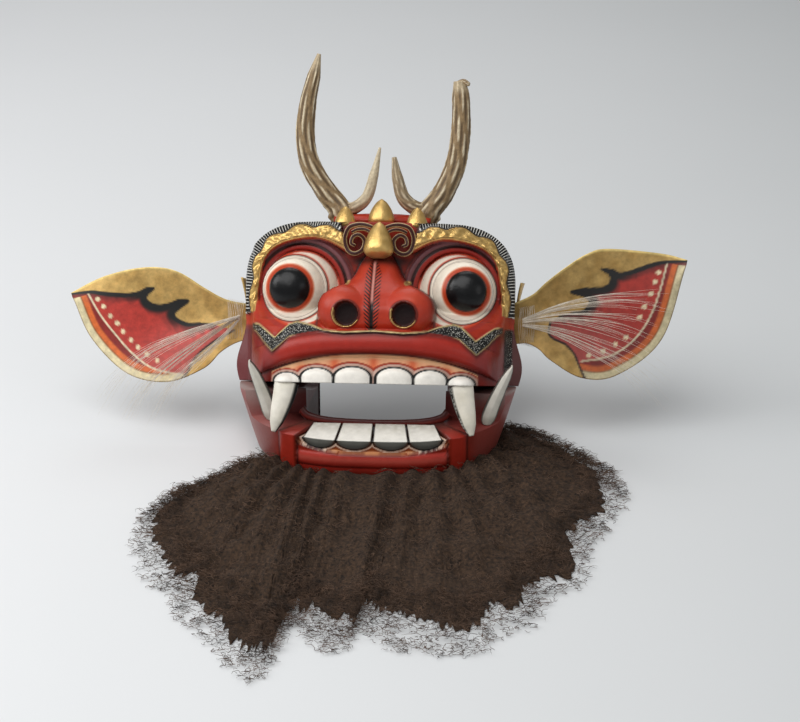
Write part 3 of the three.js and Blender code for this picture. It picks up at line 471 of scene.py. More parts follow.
def painted_wood():
    """Satin oil paint and gold leaf on carved wood: brushed colour, soft gloss, fine strokes and dots."""
    material, tree, shader = new_finish("lacquered_carved_wood")
    spot = node(tree, "ShaderNodeTexCoord").outputs["Object"]
    paint = node(tree, "ShaderNodeAttribute", {"attribute_name": "paint"})
    gloss = node(tree, "ShaderNodeAttribute", {"attribute_name": "gloss"})
    marks = node(tree, "ShaderNodeAttribute", {"attribute_name": "marks"})
    mark = node(tree, "ShaderNodeSeparateColor", Color=marks.outputs["Color"])
    # Brush marks about 6 mm long
    brush = node(tree, "ShaderNodeTexNoise", Vector=spot, Scale=1 / 0.006, Detail=4.0, Roughness=0.6)
    tone = node(tree, "ShaderNodeMapRange", Value=brush.outputs["Fac"], To_Min=0.8, To_Max=1.16)
    varied = node(tree, "ShaderNodeMix", {"data_type": "RGBA", "blend_type": "MULTIPLY"},
                  i0=1.0, i6=paint.outputs["Color"], i7=tone.outputs["Result"])
    # Strokes of a fine brush, side by side
    turn = math_node(tree, "FRACT", mark.outputs["Red"])
    pale = math_node(tree, "MULTIPLY", math_node(tree, "LESS_THAN", turn, 0.24), mark.outputs["Green"])
    dark = math_node(tree, "MULTIPLY", math_node(tree, "LESS_THAN", turn, 0.5), marks.outputs["Alpha"])
    # Dots about a millimetre apart
    dots = node(tree, "ShaderNodeTexVoronoi", Vector=spot, Scale=1 / 0.0012)
    dot = math_node(tree, "LESS_THAN", dots.outputs["Distance"], 0.3)
    dot = math_node(tree, "MULTIPLY", dot, mark.outputs["Blue"])
    coat = varied.outputs[2]
    for amount, colour in ((pale, linear("#DAD8D0")), (dot, linear("#C8C6BC")), (dark, BLACK)):
        layer = node(tree, "ShaderNodeMix", {"data_type": "RGBA"}, i0=amount, i6=coat, i7=(*colour, 1))
        coat = layer.outputs[2]
    tree.links.new(coat, shader.inputs["Base Color"])
    metal = math_node(tree, "MULTIPLY", paint.outputs["Alpha"], 0.8)
    tree.links.new(metal, shader.inputs["Metallic"])
    dull = node(tree, "ShaderNodeMapRange", Value=brush.outputs["Fac"], To_Min=0.3, To_Max=0.46)
    rough = node(tree, "ShaderNodeMix", {"data_type": "FLOAT"},
                 i0=gloss.outputs["Fac"], i2=dull.outputs["Result"], i3=0.26)
    shader.inputs["Specular IOR Level"].default_value = 0.32
    tree.links.new(rough.outputs[0], shader.inputs["Roughness"])
    # Knife ripple about 2.5 mm apart, and on the gold tooled grain about 1.5 mm across
    ripple = node(tree, "ShaderNodeTexNoise", Vector=spot, Scale=1 / 0.0025, Detail=2.0)
    grain = node(tree, "ShaderNodeTexNoise", Vector=spot, Scale=1 / 0.0016, Detail=3.0, Roughness=0.6)
    tooled = math_node(tree, "MULTIPLY", grain.outputs["Fac"], paint.outputs["Alpha"])
    relief = node(tree, "ShaderNodeMath", {"operation": "MULTIPLY_ADD"},
                  i0=tooled, i1=3.0, i2=ripple.outputs["Fac"])
    bump = node(tree, "ShaderNodeBump", Strength=0.16, Distance=0.0009, Height=relief.outputs[0])
    tree.links.new(bump.outputs["Normal"], shader.inputs["Normal"])
    return material


def ear_rawhide():
    """Painted and gilded rawhide: matte colour over a pebbled hide, gold rubbed thin."""
    material, tree, shader = new_finish("gilded_rawhide")
    spot = node(tree, "ShaderNodeTexCoord").outputs["Object"]
    paint = node(tree, "ShaderNodeAttribute", {"attribute_name": "paint"})
    # Patches of thin gold about 5 mm across
    rub = node(tree, "ShaderNodeTexNoise", Vector=spot, Scale=1 / 0.005, Detail=6.0, Roughness=0.65)
    tone = node(tree, "ShaderNodeMapRange", Value=rub.outputs["Fac"],
                From_Min=0.3, From_Max=0.7, To_Min=0.72, To_Max=1.18)
    varied = node(tree, "ShaderNodeMix", {"data_type": "RGBA", "blend_type": "MULTIPLY"},
                  i0=1.0, i6=paint.outputs["Color"], i7=tone.outputs["Result"])
    tree.links.new(varied.outputs[2], shader.inputs["Base Color"])
    metal = math_node(tree, "MULTIPLY", paint.outputs["Alpha"], 0.6)
    tree.links.new(metal, shader.inputs["Metallic"])
    dull = node(tree, "ShaderNodeMapRange", Value=rub.outputs["Fac"], To_Min=0.38, To_Max=0.62)
    tree.links.new(dull.outputs["Result"], shader.inputs["Roughness"])
    # Hide pebble about 1.2 mm across
    pebble = node(tree, "ShaderNodeTexVoronoi", Vector=spot, Scale=1 / 0.0012)
    bump = node(tree, "ShaderNodeBump", Strength=0.2, Distance=0.0003, Height=pebble.outputs["Distance"])
    tree.links.new(bump.outputs["Normal"], shader.inputs["Normal"])
    return material


def deer_antler():
    """Weathered deer antler: brown grooves, pale worn ridges, fine pores."""
    material, tree, shader = new_finish("weathered_antler")
    spot = node(tree, "ShaderNodeTexCoord").outputs["Object"]
    paint = node(tree, "ShaderNodeAttribute", {"attribute_name": "paint"})
    # Stains about 3 mm across
    stain = node(tree, "ShaderNodeTexNoise", Vector=spot, Scale=1 / 0.003, Detail=5.0, Roughness=0.7)
    tone = node(tree, "ShaderNodeMapRange", Value=stain.outputs["Fac"],
                From_Min=0.3, From_Max=0.7, To_Min=0.7, To_Max=1.2)
    varied = node(tree, "ShaderNodeMix", {"data_type": "RGBA", "blend_type": "MULTIPLY"},
                  i0=1.0, i6=paint.outputs["Color"], i7=tone.outputs["Result"])
    tree.links.new(varied.outputs[2], shader.inputs["Base Color"])
    shader.inputs["Roughness"].default_value = 0.58
    # Pores about 0.8 mm apart
    pore = node(tree, "ShaderNodeTexNoise", Vector=spot, Scale=1 / 0.0008, Detail=2.0)
    bump = node(tree, "ShaderNodeBump", Strength=0.3, Distance=0.0004, Height=pore.outputs["Fac"])
    tree.links.new(bump.outputs["Normal"], shader.inputs["Normal"])
    return material


def hair_finish(name, dark, light, size, roughness):
    """Loose hair: one strand differs from the next, with a dull sheen."""
    material, tree, shader = new_finish(name)
    spot = node(tree, "ShaderNodeTexCoord").outputs["Object"]
    lock = node(tree, "ShaderNodeTexNoise", Vector=spot, Scale=1 / size, Detail=5.0, Roughness=0.7)
    ramp = node(tree, "ShaderNodeMapRange", Value=lock.outputs["Fac"], From_Min=0.36, From_Max=0.68)
    mixed = node(tree, "ShaderNodeMix", {"data_type": "RGBA"},
                 i0=ramp.outputs["Result"], i6=(*dark, 1), i7=(*light, 1))
    tree.links.new(mixed.outputs[2], shader.inputs["Base Color"])
    shader.inputs["Roughness"].default_value = roughness
    shader.inputs["Specular IOR Level"].default_value = 0.35
    return material


# Face

def face_half(up):
    """Half width of the face at a height."""
    cheek = 112 + 8 * np.exp(-(((up - 14) / 22) ** 2))
    rise = np.clip((up - 84) / (FACE_TOP - 84), 0, 1)
    crown = 53 + 60 * (1 - rise ** 2.4) ** (1 / 2.4)
    return np.where(up < 84, np.maximum(cheek, 113 * (up > 52)), crown)


def muzzle_depth(across, front):
    share = np.clip(across / 105, 0, 1)
    return 40 + (front - 40) * (1 - share ** 2.6) ** (1 / 2.6)


def tooth_measure(across, up):
    """Below 1 inside a tooth of the upper row, the fang's root included."""
    found = np.full(across.shape, 9.0)
    for x, half, height in INCISORS:
        low, rise = height * 0.35, height * 0.65
        arch = np.maximum(up - low, 0) / rise
        found = np.minimum(found, np.hypot((across - x) / half, arch))
    root = np.hypot((across - FANG_X) / 10.5, np.maximum(up - 0.5, 0) / 7.0)
    return np.minimum(found, root)


def brow_measure(across, up):
    """Where a point lies in the brow: inside or not, share across from the socket, share along."""
    crest, brow = smooth_line(CREST_LINE, 80), smooth_line(BROW_LINE, 80)
    out_gap, out_share = nearest(crest, across, up)
    in_gap, in_share = nearest(brow, across, up)
    ring = np.vstack([brow, crest[::-1] + (crest[::-1] - [55, 60]) * 0.03])
    return inside(ring, across, up), in_gap / (in_gap + out_gap + 1e-6), 0.5 * (out_share + in_share)


def nose_profile(up, values):
    """A size of the nose at a height, smooth between the heights it is given at."""
    line = smooth_line(list(zip(NOSE_UP, values)), 80)
    return np.interp(up, line[:, 0], line[:, 1])


def leaf_edge(along):
    """How far the gilded leaves reach towards the crest."""
    wave = np.abs(np.sin(math.pi * (LEAVES * along + 0.15)))
    return np.interp(along, [0, 0.3, 0.6, 1], [0.38, 0.44, 0.54, 0.62]) + 0.22 * wave ** 1.6


def face_relief(x, up):
    """How far forward the carved face lies."""
    across = np.abs(x)
    share = np.clip(across / face_half(up), 0, 1)
    bare = 46 - 24 * share ** 2.6
    front = np.interp(up, [0, 12, 30, 40, 46, 52, 60, 72], [101, 103, 104, 101, 96, 84, 64, 40])
    muzzle = np.where(across < 105, muzzle_depth(across, front), 40 - (across - 105) * 4)
    depth = swell(bare, muzzle, 8)
    # Lip
    height = 33 - 19 * (np.minimum(across, 101) / 101) ** 3
    roll = 1 - ((up - height) / 11) ** 2
    lip = muzzle_depth(across, 104) + 9 * np.sqrt(np.maximum(roll, 0)) * edge(97 - across, 12)
    depth = np.where((roll > 0) & (across < 101), swell(depth, lip, 3), depth)
    # Eyes: lid, ball and pupil on one another, two folds round them
    ring = np.hypot(across - LID_X, up - EYE_UP)
    socket = edge(40 - ring, 10)
    depth = np.where((up > 52) & (across > 34), depth - 4 * socket, depth)
    for radius, half, proud in ((35.6, 3.0, 3.0), (41, 3.0, 3.6)):
        fold = bare + proud * bulge(((ring - radius) / half) ** 2)
        open_side = (up > 66) | (across < 40)
        depth = np.where((np.abs(ring - radius) < half) & open_side, np.maximum(depth, fold), depth)
    domes = ((LID_X, LID_R, 38, 22), (BALL_X, BALL_R, 46, 22), (PUPIL_X, PUPIL_R, 62, 9.5))
    for middle, radius, base, rise in domes:
        dome = ((across - middle) / radius) ** 2 + ((up - EYE_UP) / radius) ** 2
        depth = np.where(dome < 1, np.maximum(depth, base + rise * bulge(dome)), depth)
    # Nose: one mass that flares into its wings, with a soft groove down the ridge
    nose_share = np.clip(across / nose_profile(up, NOSE_HALF), 0, 1)
    fall = nose_profile(up, NOSE_FALL)
    nose = nose_profile(up, NOSE_FRONT) - fall + fall * np.sqrt(1 - nose_share ** 3)
    flare = ((across - 28) / 20.5) ** 2 + ((up - 60) / 20.5) ** 2
    nose = np.where(flare < 1, swell(nose, 88 + 20.5 * bulge(flare), 9), nose)
    on_nose = (nose_share < 1) & (up > 40) & (up < 107)
    depth = np.where(on_nose, np.maximum(depth, nose), depth)
    groove = np.exp(-((x - RIDGE_X) / 1.5) ** 2) * edge(up - 48, 4) * edge(104 - up, 4)
    depth = depth - 1.8 * groove
    # Brow: gilded leaves inside, striped crest outside
    within, over, along = brow_measure(across, up)
    leaf = leaf_edge(along)
    inner = np.clip(over / leaf, 0, 1)
    proud = np.where(over < leaf, np.interp(over, [0, 0.05, 0.1, 0.2, 1], [8, 12, 12.5, 14.5, 14.5]),
                     np.interp(over, [0, 0.85, 1], [9.5, 9, 4]))
    scroll = np.sin(2 * math.pi * (along * LEAVES * 2.5 + 0.9 * inner)) * np.sin(math.pi * inner)
    scroll = scroll + 1.6 * (cloud(x, up, 2.6, 3) - 0.5) + 0.8 * (cloud(x, up, 1.7, 4) - 0.5)
    proud = proud + np.where(over < leaf, 0.9 * scroll * edge(over - 0.16, 0.08), 0)
    depth = np.where(within, np.maximum(depth, bare + proud), depth)
    # Moustache band
    top = np.interp(across, MOUSTACHE_ACROSS, MOUSTACHE_TOP)
    low = np.interp(across, MOUSTACHE_LOW_ACROSS, MOUSTACHE_LOW)
    band = edge(np.minimum(top - up, up - low) + 0.6, 1.6) * (across < 104)
    depth = depth + band * (2.2 + 0.5 * (cloud(x, up, 1.6, 5) - 0.5))
    depth = depth + 1.2 * edge(0.9 - np.abs(up - top), 1.2) * (across < 104)
    # Teeth of the upper row and the gum round them
    tooth = tooth_measure(across, up)
    gum = muzzle_depth(across, 103)
    depth = np.where((tooth < 1.3) & (up < 19), np.maximum(depth, gum + 1.6 * edge(1.24 - tooth, 0.1)), depth)
    depth = np.where(tooth < 1, gum + 1.2 + 3.2 * (1 - tooth ** 4), depth)
    root = ((across - FANG_X) / 10) ** 2 + ((up - 0.5) / 7) ** 2
    depth = np.where(root < 1, np.maximum(depth, 92 + 9 * bulge(root)), depth)
    # Nostrils
    hole = np.hypot(across - NOSTRIL_X, up - NOSTRIL_UP)
    depth = np.where(hole < 9.9, np.minimum(depth, 92.0), depth)
    rim = edge(1.0 - np.abs(hole - 10.7), 1.0)
    return depth + 0.7 * rim


def face_hollow(x, up):
    """How far forward the back of the face lies: a flat rim, a hollow and the way down to the mouth."""
    across = np.abs(x)
    room = 1 - (across / 84) ** 2.857 - (np.abs(up - 68) / 50) ** 2.857
    depth = FACE_BACK + 51 * np.clip(room / 0.12, 0, 1) * (up < 112)
    throat = np.clip((62 - across) / 4, 0, 1) * np.clip((46 - up) / 4, 0, 1)
    return np.maximum(depth, FACE_BACK + (84 - 24 / 44 * np.clip(up, 0, 44) - FACE_BACK) * throat)


def face_coat(x, up, hollow):
    across = np.abs(x)
    coat = Coat(len(x), VERMILION)
    coat.lay(DEEP_RED, 0.6 * edge(up - 100, 20))
    # Lip, darker towards the gum, with a painted plum sheen towards its corners
    top = np.interp(across, MOUSTACHE_ACROSS, MOUSTACHE_TOP)
    low = np.interp(across, MOUSTACHE_LOW_ACROSS, MOUSTACHE_LOW)
    gum_top = 23.4 - 15 * (across / 84) ** 2.4
    lip = edge(low - up, 1.5)
    coat.lay(linear("#A3281C"), lip)
    coat.lay(OXBLOOD, 0.6 * lip * edge(gum_top + 4 - up, 7))
    coat.lay(PLUM_SHEEN, 0.5 * lip * np.exp(-((across - 88) / 9) ** 2) * edge(up - 8, 12))
    coat.lay(linear("#6E1512"), 0.8 * lip * edge(across - 95, 4))
    coat.lay(OXBLOOD, 0.65 * lip * edge(3.5 - (low - up), 4))
    # Painted shade: the colour is darkened where the relief is hollow
    coat.shade(1 - 0.75 * np.clip(hollow, 0, 1))
    # Cheek edge: a painted plum sheen on the left, black with dots on the right
    side = edge(across - 106, 2.5) * edge(50 - up, 3)
    coat.lay(PLUM_SHEEN, 0.8 * side * (x < 0))
    coat.lay(linear("#5A3A38"), 0.85 * side * (x > 0))
    strip = edge(across - 105, 1.5) * edge(50 - up, 3) * (x > 0) * edge(up - 12, 6) * edge(111.5 - across, 2)
    coat.lay(BLACK, strip)
    coat.mark(2, 0.8 * strip)
    # Ear root on the temple
    coat.lay(linear("#B2402A"), edge(across - 103, 2) * edge(up - 47, 3) * edge(60 - up, 3))
    # Gum and teeth
    tooth = tooth_measure(across, up)
    gum = edge(gum_top - up, 1.2) * edge(84 - across, 1.5)
    coat.lay(OXBLOOD, 0.8 * edge(0.9 - np.abs(up - gum_top - 0.9), 1.0) * edge(84 - across, 2))
    coat.lay(PEACH, gum)
    valley = np.minimum(np.abs(across - 31.7), np.minimum(np.abs(across - 59.5), across))
    coat.lay(ORANGE, gum * 0.9 * np.exp(-(valley / 4.5) ** 2) * edge(up - 8, 5))
    coat.lay(linear("#F9C896"), gum * 0.6 * edge(up - gum_top + 3, 2.5))
    coat.lay(linear("#A8402A"), gum * edge(1.57 - tooth, 0.06))
    coat.lay(PINK, gum * edge(1.38 - tooth, 0.06))
    coat.lay(BLACK, gum * edge(1.18 - tooth, 0.06))
    coat.lay(WHITE, edge(1.0 - tooth, 0.06) * edge(20 - up, 2), gloss=0.4)
    # Lids and eyes
    ring = np.hypot(across - LID_X, up - EYE_UP)
    ball = np.hypot(across - BALL_X, up - EYE_UP)
    pupil = np.hypot(across - PUPIL_X, up - EYE_UP)
    open_side = np.maximum(edge(up - 68, 4), edge(42 - across, 3) * edge(up - 60, 3))
    coat.lay(OXBLOOD, edge(46 - ring, 2.5) * open_side * 0.75)
    coat.lay(linear("#7A4A4E"), edge(2.8 - np.abs(ring - 41.2), 1.6) * open_side)
    coat.lay(linear("#B0605A"), 0.8 * edge(0.7 - np.abs(ring - 44), 0.9) * open_side)
    coat.lay(linear("#2E1210"), edge(1.5 - np.abs(ring - 37.6), 1.2) * open_side)
    coat.lay(linear("#9C2A20"), edge(1.6 - np.abs(ring - 34.6), 1.0))
    lid = edge(LID_R + 0.2 - ring, 0.9)
    coat.lay(linear("#C8452A"), lid)
    coat.lay(CREAM, edge(LID_R - 1.6 - ring, 1.0), gloss=0.5)
    coat.lay(linear("#C8452A"), 0.9 * edge(29.4 - ball, 1.0) * lid)
    coat.lay(MAROON, edge(28.2 - ball, 0.9))
    coat.lay(CREAM, edge(27.2 - ball, 0.9), gloss=0.5)
    coat.lay(linear("#A89C90"), 0.8 * edge(0.4 - np.abs(ball - 24.8), 0.5), gloss=0.5)
    coat.lay(linear("#DB8A68"), edge(20.6 - pupil, 1.2), gloss=0.5)
    coat.lay(linear("#B5401F"), edge(19.6 - pupil, 1.4), gloss=0.5)
    coat.lay(linear("#08080A"), edge(16.9 - pupil, 0.9), gloss=0.7)
    # Nose over the inner corners of the eyes
    nose_gap = nose_profile(up, NOSE_HALF) - across
    nose = edge(nose_gap, 0.9) * edge(up - 43, 1.5) * edge(107 - up, 3)
    coat.lay(linear("#B0341F"), nose)
    coat.lay(DEEP_RED, nose * 0.55 * edge(3.0 - nose_gap, 4))
    coat.lay(linear("#C9553A"), nose * 0.35 * np.exp(-((across - 30) / 9) ** 2 - ((up - 70) / 6) ** 2))
    coat.lay(OXBLOOD, 0.8 * edge(1.0 - np.abs(nose_gap + 0.6), 1.2) * edge(up - 46, 3) * edge(100 - up, 6))
    # Painted shade above the nose round the foot of the gilded bud, and the hatched ridge with its pale line
    off = np.abs(x - RIDGE_X)
    coat.lay(BLACK, 0.85 * np.exp(-((up - 101.5) / 4.5) ** 2) * edge(24 - across, 16))
    ridge = edge(up - 43, 2) * edge(100 - up, 4)
    coat.lay(linear("#3A0E0C"), 0.5 * ridge * edge(2.4 - off, 2.4))
    hatch_half = np.interp(up, [44, 60, 90, 100], [4.5, 6.5, 6.5, 3])
    coat.mark(3, 0.95 * ridge * edge(hatch_half - off, 1.6), (up - 0.9 * off) / 3.0)
    coat.lay(BLACK, ridge * edge(1.5 - off, 1.0))
    coat.lay(linear("#C98478"), ridge * edge(0.75 - np.abs(off - 0.2), 0.7) * edge(up - 66, 6))
    # Nostrils
    hole = np.hypot(across - NOSTRIL_X, up - NOSTRIL_UP)
    coat.lay(linear("#4A0F0C"), edge(10.2 - hole, 1.0))
    coat.lay(MAROON, edge(8.0 - hole, 3.0))
    # Gold on the nostril rim only on its lit lower-left arc: a painted highlight
    angle = np.arctan2(up - NOSTRIL_UP, x + NOSTRIL_X * np.where(x < 0, 1, -1))
    lit = np.where(np.cos(angle - math.radians(245)) > 0.0, 1, 0.0)
    coat.lay(OXBLOOD, 0.8 * edge(1.0 - np.abs(hole - 11.0), 1.2))
    coat.lay(GOLD, edge(0.4 - np.abs(hole - 10.6), 0.6) * lit, gilt=0.8)
    # Brow
    within, over, along = brow_measure(across, up)
    within = within.astype(float)
    leaf = leaf_edge(along)
    coat.lay(BLACK, within * edge(over - leaf, 0.04))
    coat.mark(1, within * edge(over - leaf - 0.08, 0.05), along * 62)
    worn = 0.35 + 0.65 * cloud(x, up, 1.8, 9)
    gold = within * edge(leaf - over, 0.04)
    coat.lay(OLD_GOLD, gold, gilt=1)
    coat.lay(GOLD, gold * worn, gilt=1)
    coat.lay(linear("#5A2E18"), gold * 0.7 * edge(0.018 - np.abs(over - 0.17), 0.03), gilt=0.3)
    coat.lay(linear("#B0442A"), within * edge(0.075 - over, 0.03))
    coat.lay(GOLD, within * edge(0.025 - np.abs(over - 0.11), 0.03), gilt=1)
    # Moustache band with a gilded edge
    band = edge(np.minimum(top - up, up - low), 1.2) * edge(104 - across, 2) * edge(across - 42, 8)
    coat.lay(BLACK, band)
    coat.mark(2, band * edge(np.minimum(top - up, up - low) - 1.0, 1.0))
    coat.lay(BLACK, 0.9 * edge(1.0 - np.abs(up - top + 1.3), 1.0) * edge(48 - across, 4))
    lower_line = 0.75 * edge(0.5 - np.abs(up - low), 0.6) * edge(across - 66, 8)
    gilded = np.maximum(edge(0.6 - np.abs(up - top), 0.6), lower_line)
    coat.lay(linear("#CDB884"), gilded * edge(101 - across, 3), gilt=0.6)
    # Gilded bead at the inner corner of the eye
    coat.lay(GOLD, edge(2.2 - np.hypot(across - 24.5, up - 83), 0.8), gilt=1)
    return coat


def build_face(finish):
    bm = blank()
    columns, rows = 276, 154
    (front, u, t), (back, bu, bt) = slab(bm, columns, rows)
    up = FACE_TOP * t
    x = (2 * u - 1) * face_half(up)
    depth = face_relief(x, up)
    # Painted shade for the hollows: the relief is set against its own blurred form
    order = np.lexsort((u, t))
    sheet = depth[order].reshape(rows + 1, columns + 1)
    blur = sheet.copy()
    for _ in range(10):
        padded = np.pad(blur, 1, mode="edge")
        blur = (padded[:-2, 1:-1] + padded[2:, 1:-1] + padded[1:-1, :-2] + padded[1:-1, 2:] + blur) / 5
    hollow = np.zeros(len(depth))
    hollow[order] = np.clip((blur - sheet).ravel() / 2.6, 0, 1)
    place(bm, front, from_face(x, up, depth), face_coat(x, up, hollow))
    up = FACE_TOP * bt
    x = (2 * bu - 1) * face_half(up)
    depth = np.minimum(face_hollow(x, up), face_relief(x, up) - 8)
    bare = Coat(len(x), linear("#5C4028"))
    bare.lay(linear("#3A2718"), 0.6 * cloud(x, up * 0.25, 5, 21))
    place(bm, back, from_face(x, up, depth), bare)
    crown_parts(bm)
    return keep(bm, "face_carving", finish, "head", ["mask_face"])


def crown_parts(bm):
    """Crown strip, gilded buds and curls that stand on the face."""
    def crown_coat(angle, t, spot):
        coat = Coat(len(t), DEEP_RED)
        coat.lay(VERMILION, edge(spot[:, 1] - 136, 5))
        return coat

    bar(bm, [(-40, 136, 7), (0, 136.5, 9), (40, 136, 7)], [5.5, 6.6, 6.6, 5.5], 18, 30, crown_coat,
        flat=2.6, side=(0, 1, 0))

    def gold_coat(angle, t, spot):
        coat = Coat(len(t), OLD_GOLD)
        coat.gilt[:] = 1
        coat.lay(GOLD, 0.35 + 0.65 * cloud(spot[:, 0], spot[:, 1], 3, 17), gilt=1)
        coat.lay(RUST, 0.5 * edge(0.08 - t, 0.06))
        return coat

    buds = [
        ((0, 131, 33), (0, 154, 33), 11),
        ((30, 127, 37), (30, 147.5, 35), 9),
        ((-30, 127, 37), (-30, 147.5, 35), 9),
        ((0, 103, 66), (0, 133.5, 62), 12.5),
    ]
    for base, apex, radius in buds:
        middle = tuple((a + b) / 2 for a, b in zip(base, apex))
        profile = [radius * f for f in (0.4, 0.88, 1.0, 0.99, 0.94, 0.87, 0.78, 0.67, 0.53, 0.36, 0.05)]
        bar(bm, [base, middle, apex], profile, 14, 24, gold_coat, side=(1, 0, 0))

    def curl_coat(angle, t, spot):
        coat = Coat(len(t), linear("#4A1A14"))
        coat.lay(linear("#240D0A"), 0.7 * edge(0.45 - np.abs(np.sin(angle)), 0.3))
        outline = edge(np.abs(np.sin(angle)) - 0.62, 0.2) * edge(np.cos(angle) + 0.1, 0.3)
        coat.lay(linear("#D9C494"), outline, gilt=0.3)
        return coat

    def ribbon(angle, t):
        return (np.abs(np.cos(angle)) ** 4 + np.abs(np.sin(angle)) ** 4) ** -0.25

    curl = [(5.2, 129, 60), (12, 131, 59), (18.5, 131, 58), (25.5, 128, 57), (28.6, 119, 56), (26, 110, 56),
            (20, 107, 57), (13.6, 110.5, 58), (12, 118, 58), (16.5, 122.6, 59), (21.5, 121, 59),
            (23, 115.6, 60),
            (19.6, 113.4, 60)]
    leaf = [(6, 124.5, 61), (12, 127.2, 60), (18, 127, 59), (22.5, 125, 58)]
    curl_radius = [3.4, 4.2, 4.2, 4.2, 4.0, 3.6, 3.0]
    leaf_radius = [3.0, 3.6, 3.0]
    for side in (-1, 1):
        for line, radius, rows, flat in ((curl, curl_radius, 90, 0.44), (leaf, leaf_radius, 24, 0.42)):
            points = [(side * x, up, forward) for x, up, forward in line]
            bar(bm, points, radius, 16, rows, curl_coat, flat=flat, carve=ribbon)


# Jaw, fangs and tusks

def jaw_angles(shares):
    """Angles round the jaw's oval that are evenly spaced along it."""
    fine = np.linspace(math.pi, 0, 4001)
    x, y = jaw_oval(fine, 110.0, JAW_LENGTH, JAW_POWER)
    length = np.concatenate([[0], np.cumsum(np.hypot(np.diff(x), np.diff(y)))])
    return np.interp(shares * length[-1], length, fine)


def jaw_oval(angle, half, length, power):
    cosine, sine = np.cos(angle), np.sin(angle)
    x = np.sign(cosine) * np.abs(cosine) ** (2 / power) * half
    return x, HINGE_Y - np.abs(sine) ** (2 / power) * length


def jaw_front(x):
    share = np.clip(np.abs(x) / 104, 0, 1)
    return HINGE_Y - JAW_LENGTH * (1 - share ** 3) ** (1 / 3)


def jaw_top(x, y):
    """Height of the jaw's rim: low gum in front, corners, then walls that rise and fall back to the hinge."""
    wall = np.interp(y, [-60, -16, -12, 31, 56], [42, 42, 63.5, 51.7, 40.6])
    return np.where((np.abs(x) < JAW_MOUTH_HALF) & (y < JAW_FRONT_END), 37.6, wall)


def scallop_measure(x, z):
    """Below 1 inside a lower tooth's front."""
    across = np.abs(x)
    found = np.full(x.shape, 9.0)
    for middle, half in LOWER_TEETH:
        drop = np.maximum(38.4 - z, 0) / 8.4
        found = np.minimum(found, np.hypot((across - middle) / half, drop))
    return found


def gum_line(x):
    """Height where the lower lip ends and the gum begins."""
    return 27.2 + 6.5 * np.clip(np.abs(x) / JAW_MOUTH_HALF, 0, 1) ** 3


def jaw_coat(x, y, z, outer):
    across = np.abs(x)
    coat = Coat(len(x), DEEP_RED)
    coat.lay(VERMILION, 0.55 * cloud(x + y, z, 20, 31))
    # Painted sheen: grey-lavender on the jaw's sides, stronger on the left
    coat.lay(linear("#8A5A56"), 0.62 * edge(across - 80, 14) * edge(z - 8, 8) * np.where(x < 0, 1, 0.55))
    front = edge(JAW_MOUTH_HALF - across, 1.5) * edge(-20 - y, 6)
    coat.lay(linear("#B02E24"), front * 0.8 * edge(28 - z, 4) * edge(z - 12, 4))
    # Painted highlight along the roll of the lower lip
    coat.lay(linear("#C4685A"), front * 0.35 * np.exp(-((z - 23) / 2.5) ** 2))
    line = gum_line(x)
    coat.lay(OXBLOOD, front * 0.7 * np.exp(-((z - line + 0.4) / 0.7) ** 2))
    gum = front * edge(z - line, 0.6)
    coat.lay(linear("#9A4F22"), gum)
    coat.lay(linear("#E09A62"), gum * 0.8 * edge(0.6 - np.abs(z - line - 0.7), 0.7))
    scallop = scallop_measure(x, z)
    coat.lay(linear("#7A3518"), gum * 0.7 * edge(1.42 - scallop, 0.1))
    coat.lay(linear("#F4D6BE"), gum * edge(1.24 - scallop, 0.06))
    coat.lay(BLACK, gum * edge(1.1 - scallop, 0.05))
    post = edge(7.5 - np.abs(across - POST_X), 1.2) * edge(-25 - y, 6)
    coat.lay(linear("#A62C1E"), post * 0.8 * edge(across - 64, 3))
    coat.lay(OXBLOOD, post * 0.45 * edge(64 - across, 3))
    coat.lay(OXBLOOD, 0.85 * edge(0.8 - np.abs(np.abs(across - POST_X) - 7.8), 1.2) * edge(-25 - y, 6))
    # Painted highlight along the lower edge of the sides, just above the foot
    coat.lay(linear("#9A938C"), 0.75 * edge(0.9 - np.abs(z - 9.6), 1.2) * edge(across - 76, 4))
    rim = jaw_top(x, y) - z
    coat.lay(linear("#8C8680"), 0.6 * edge(1.2 - rim, 1.0) * edge(y + 14, 4))
    # Painted shadow below 8 mm, under the overhang of the chin over the recessed foot and low inside, and
    # painted shade darker towards the bottom at the front
    coat.lay(BLACK, 0.9 * edge(8.0 - z, 3))
    coat.lay(linear("#2A100E"), 0.5 * edge(13 - z, 7) * edge(JAW_MOUTH_HALF - across, 20))
    if not outer:
        # Painted shade low inside the walls, and painted grey-purple light on them near the rim
        coat.lay(linear("#3A1614"), 0.85 * edge(41 - z, 6))
        coat.lay(linear("#5A3436"), 0.7 * edge(z - 40, 8))
    return coat


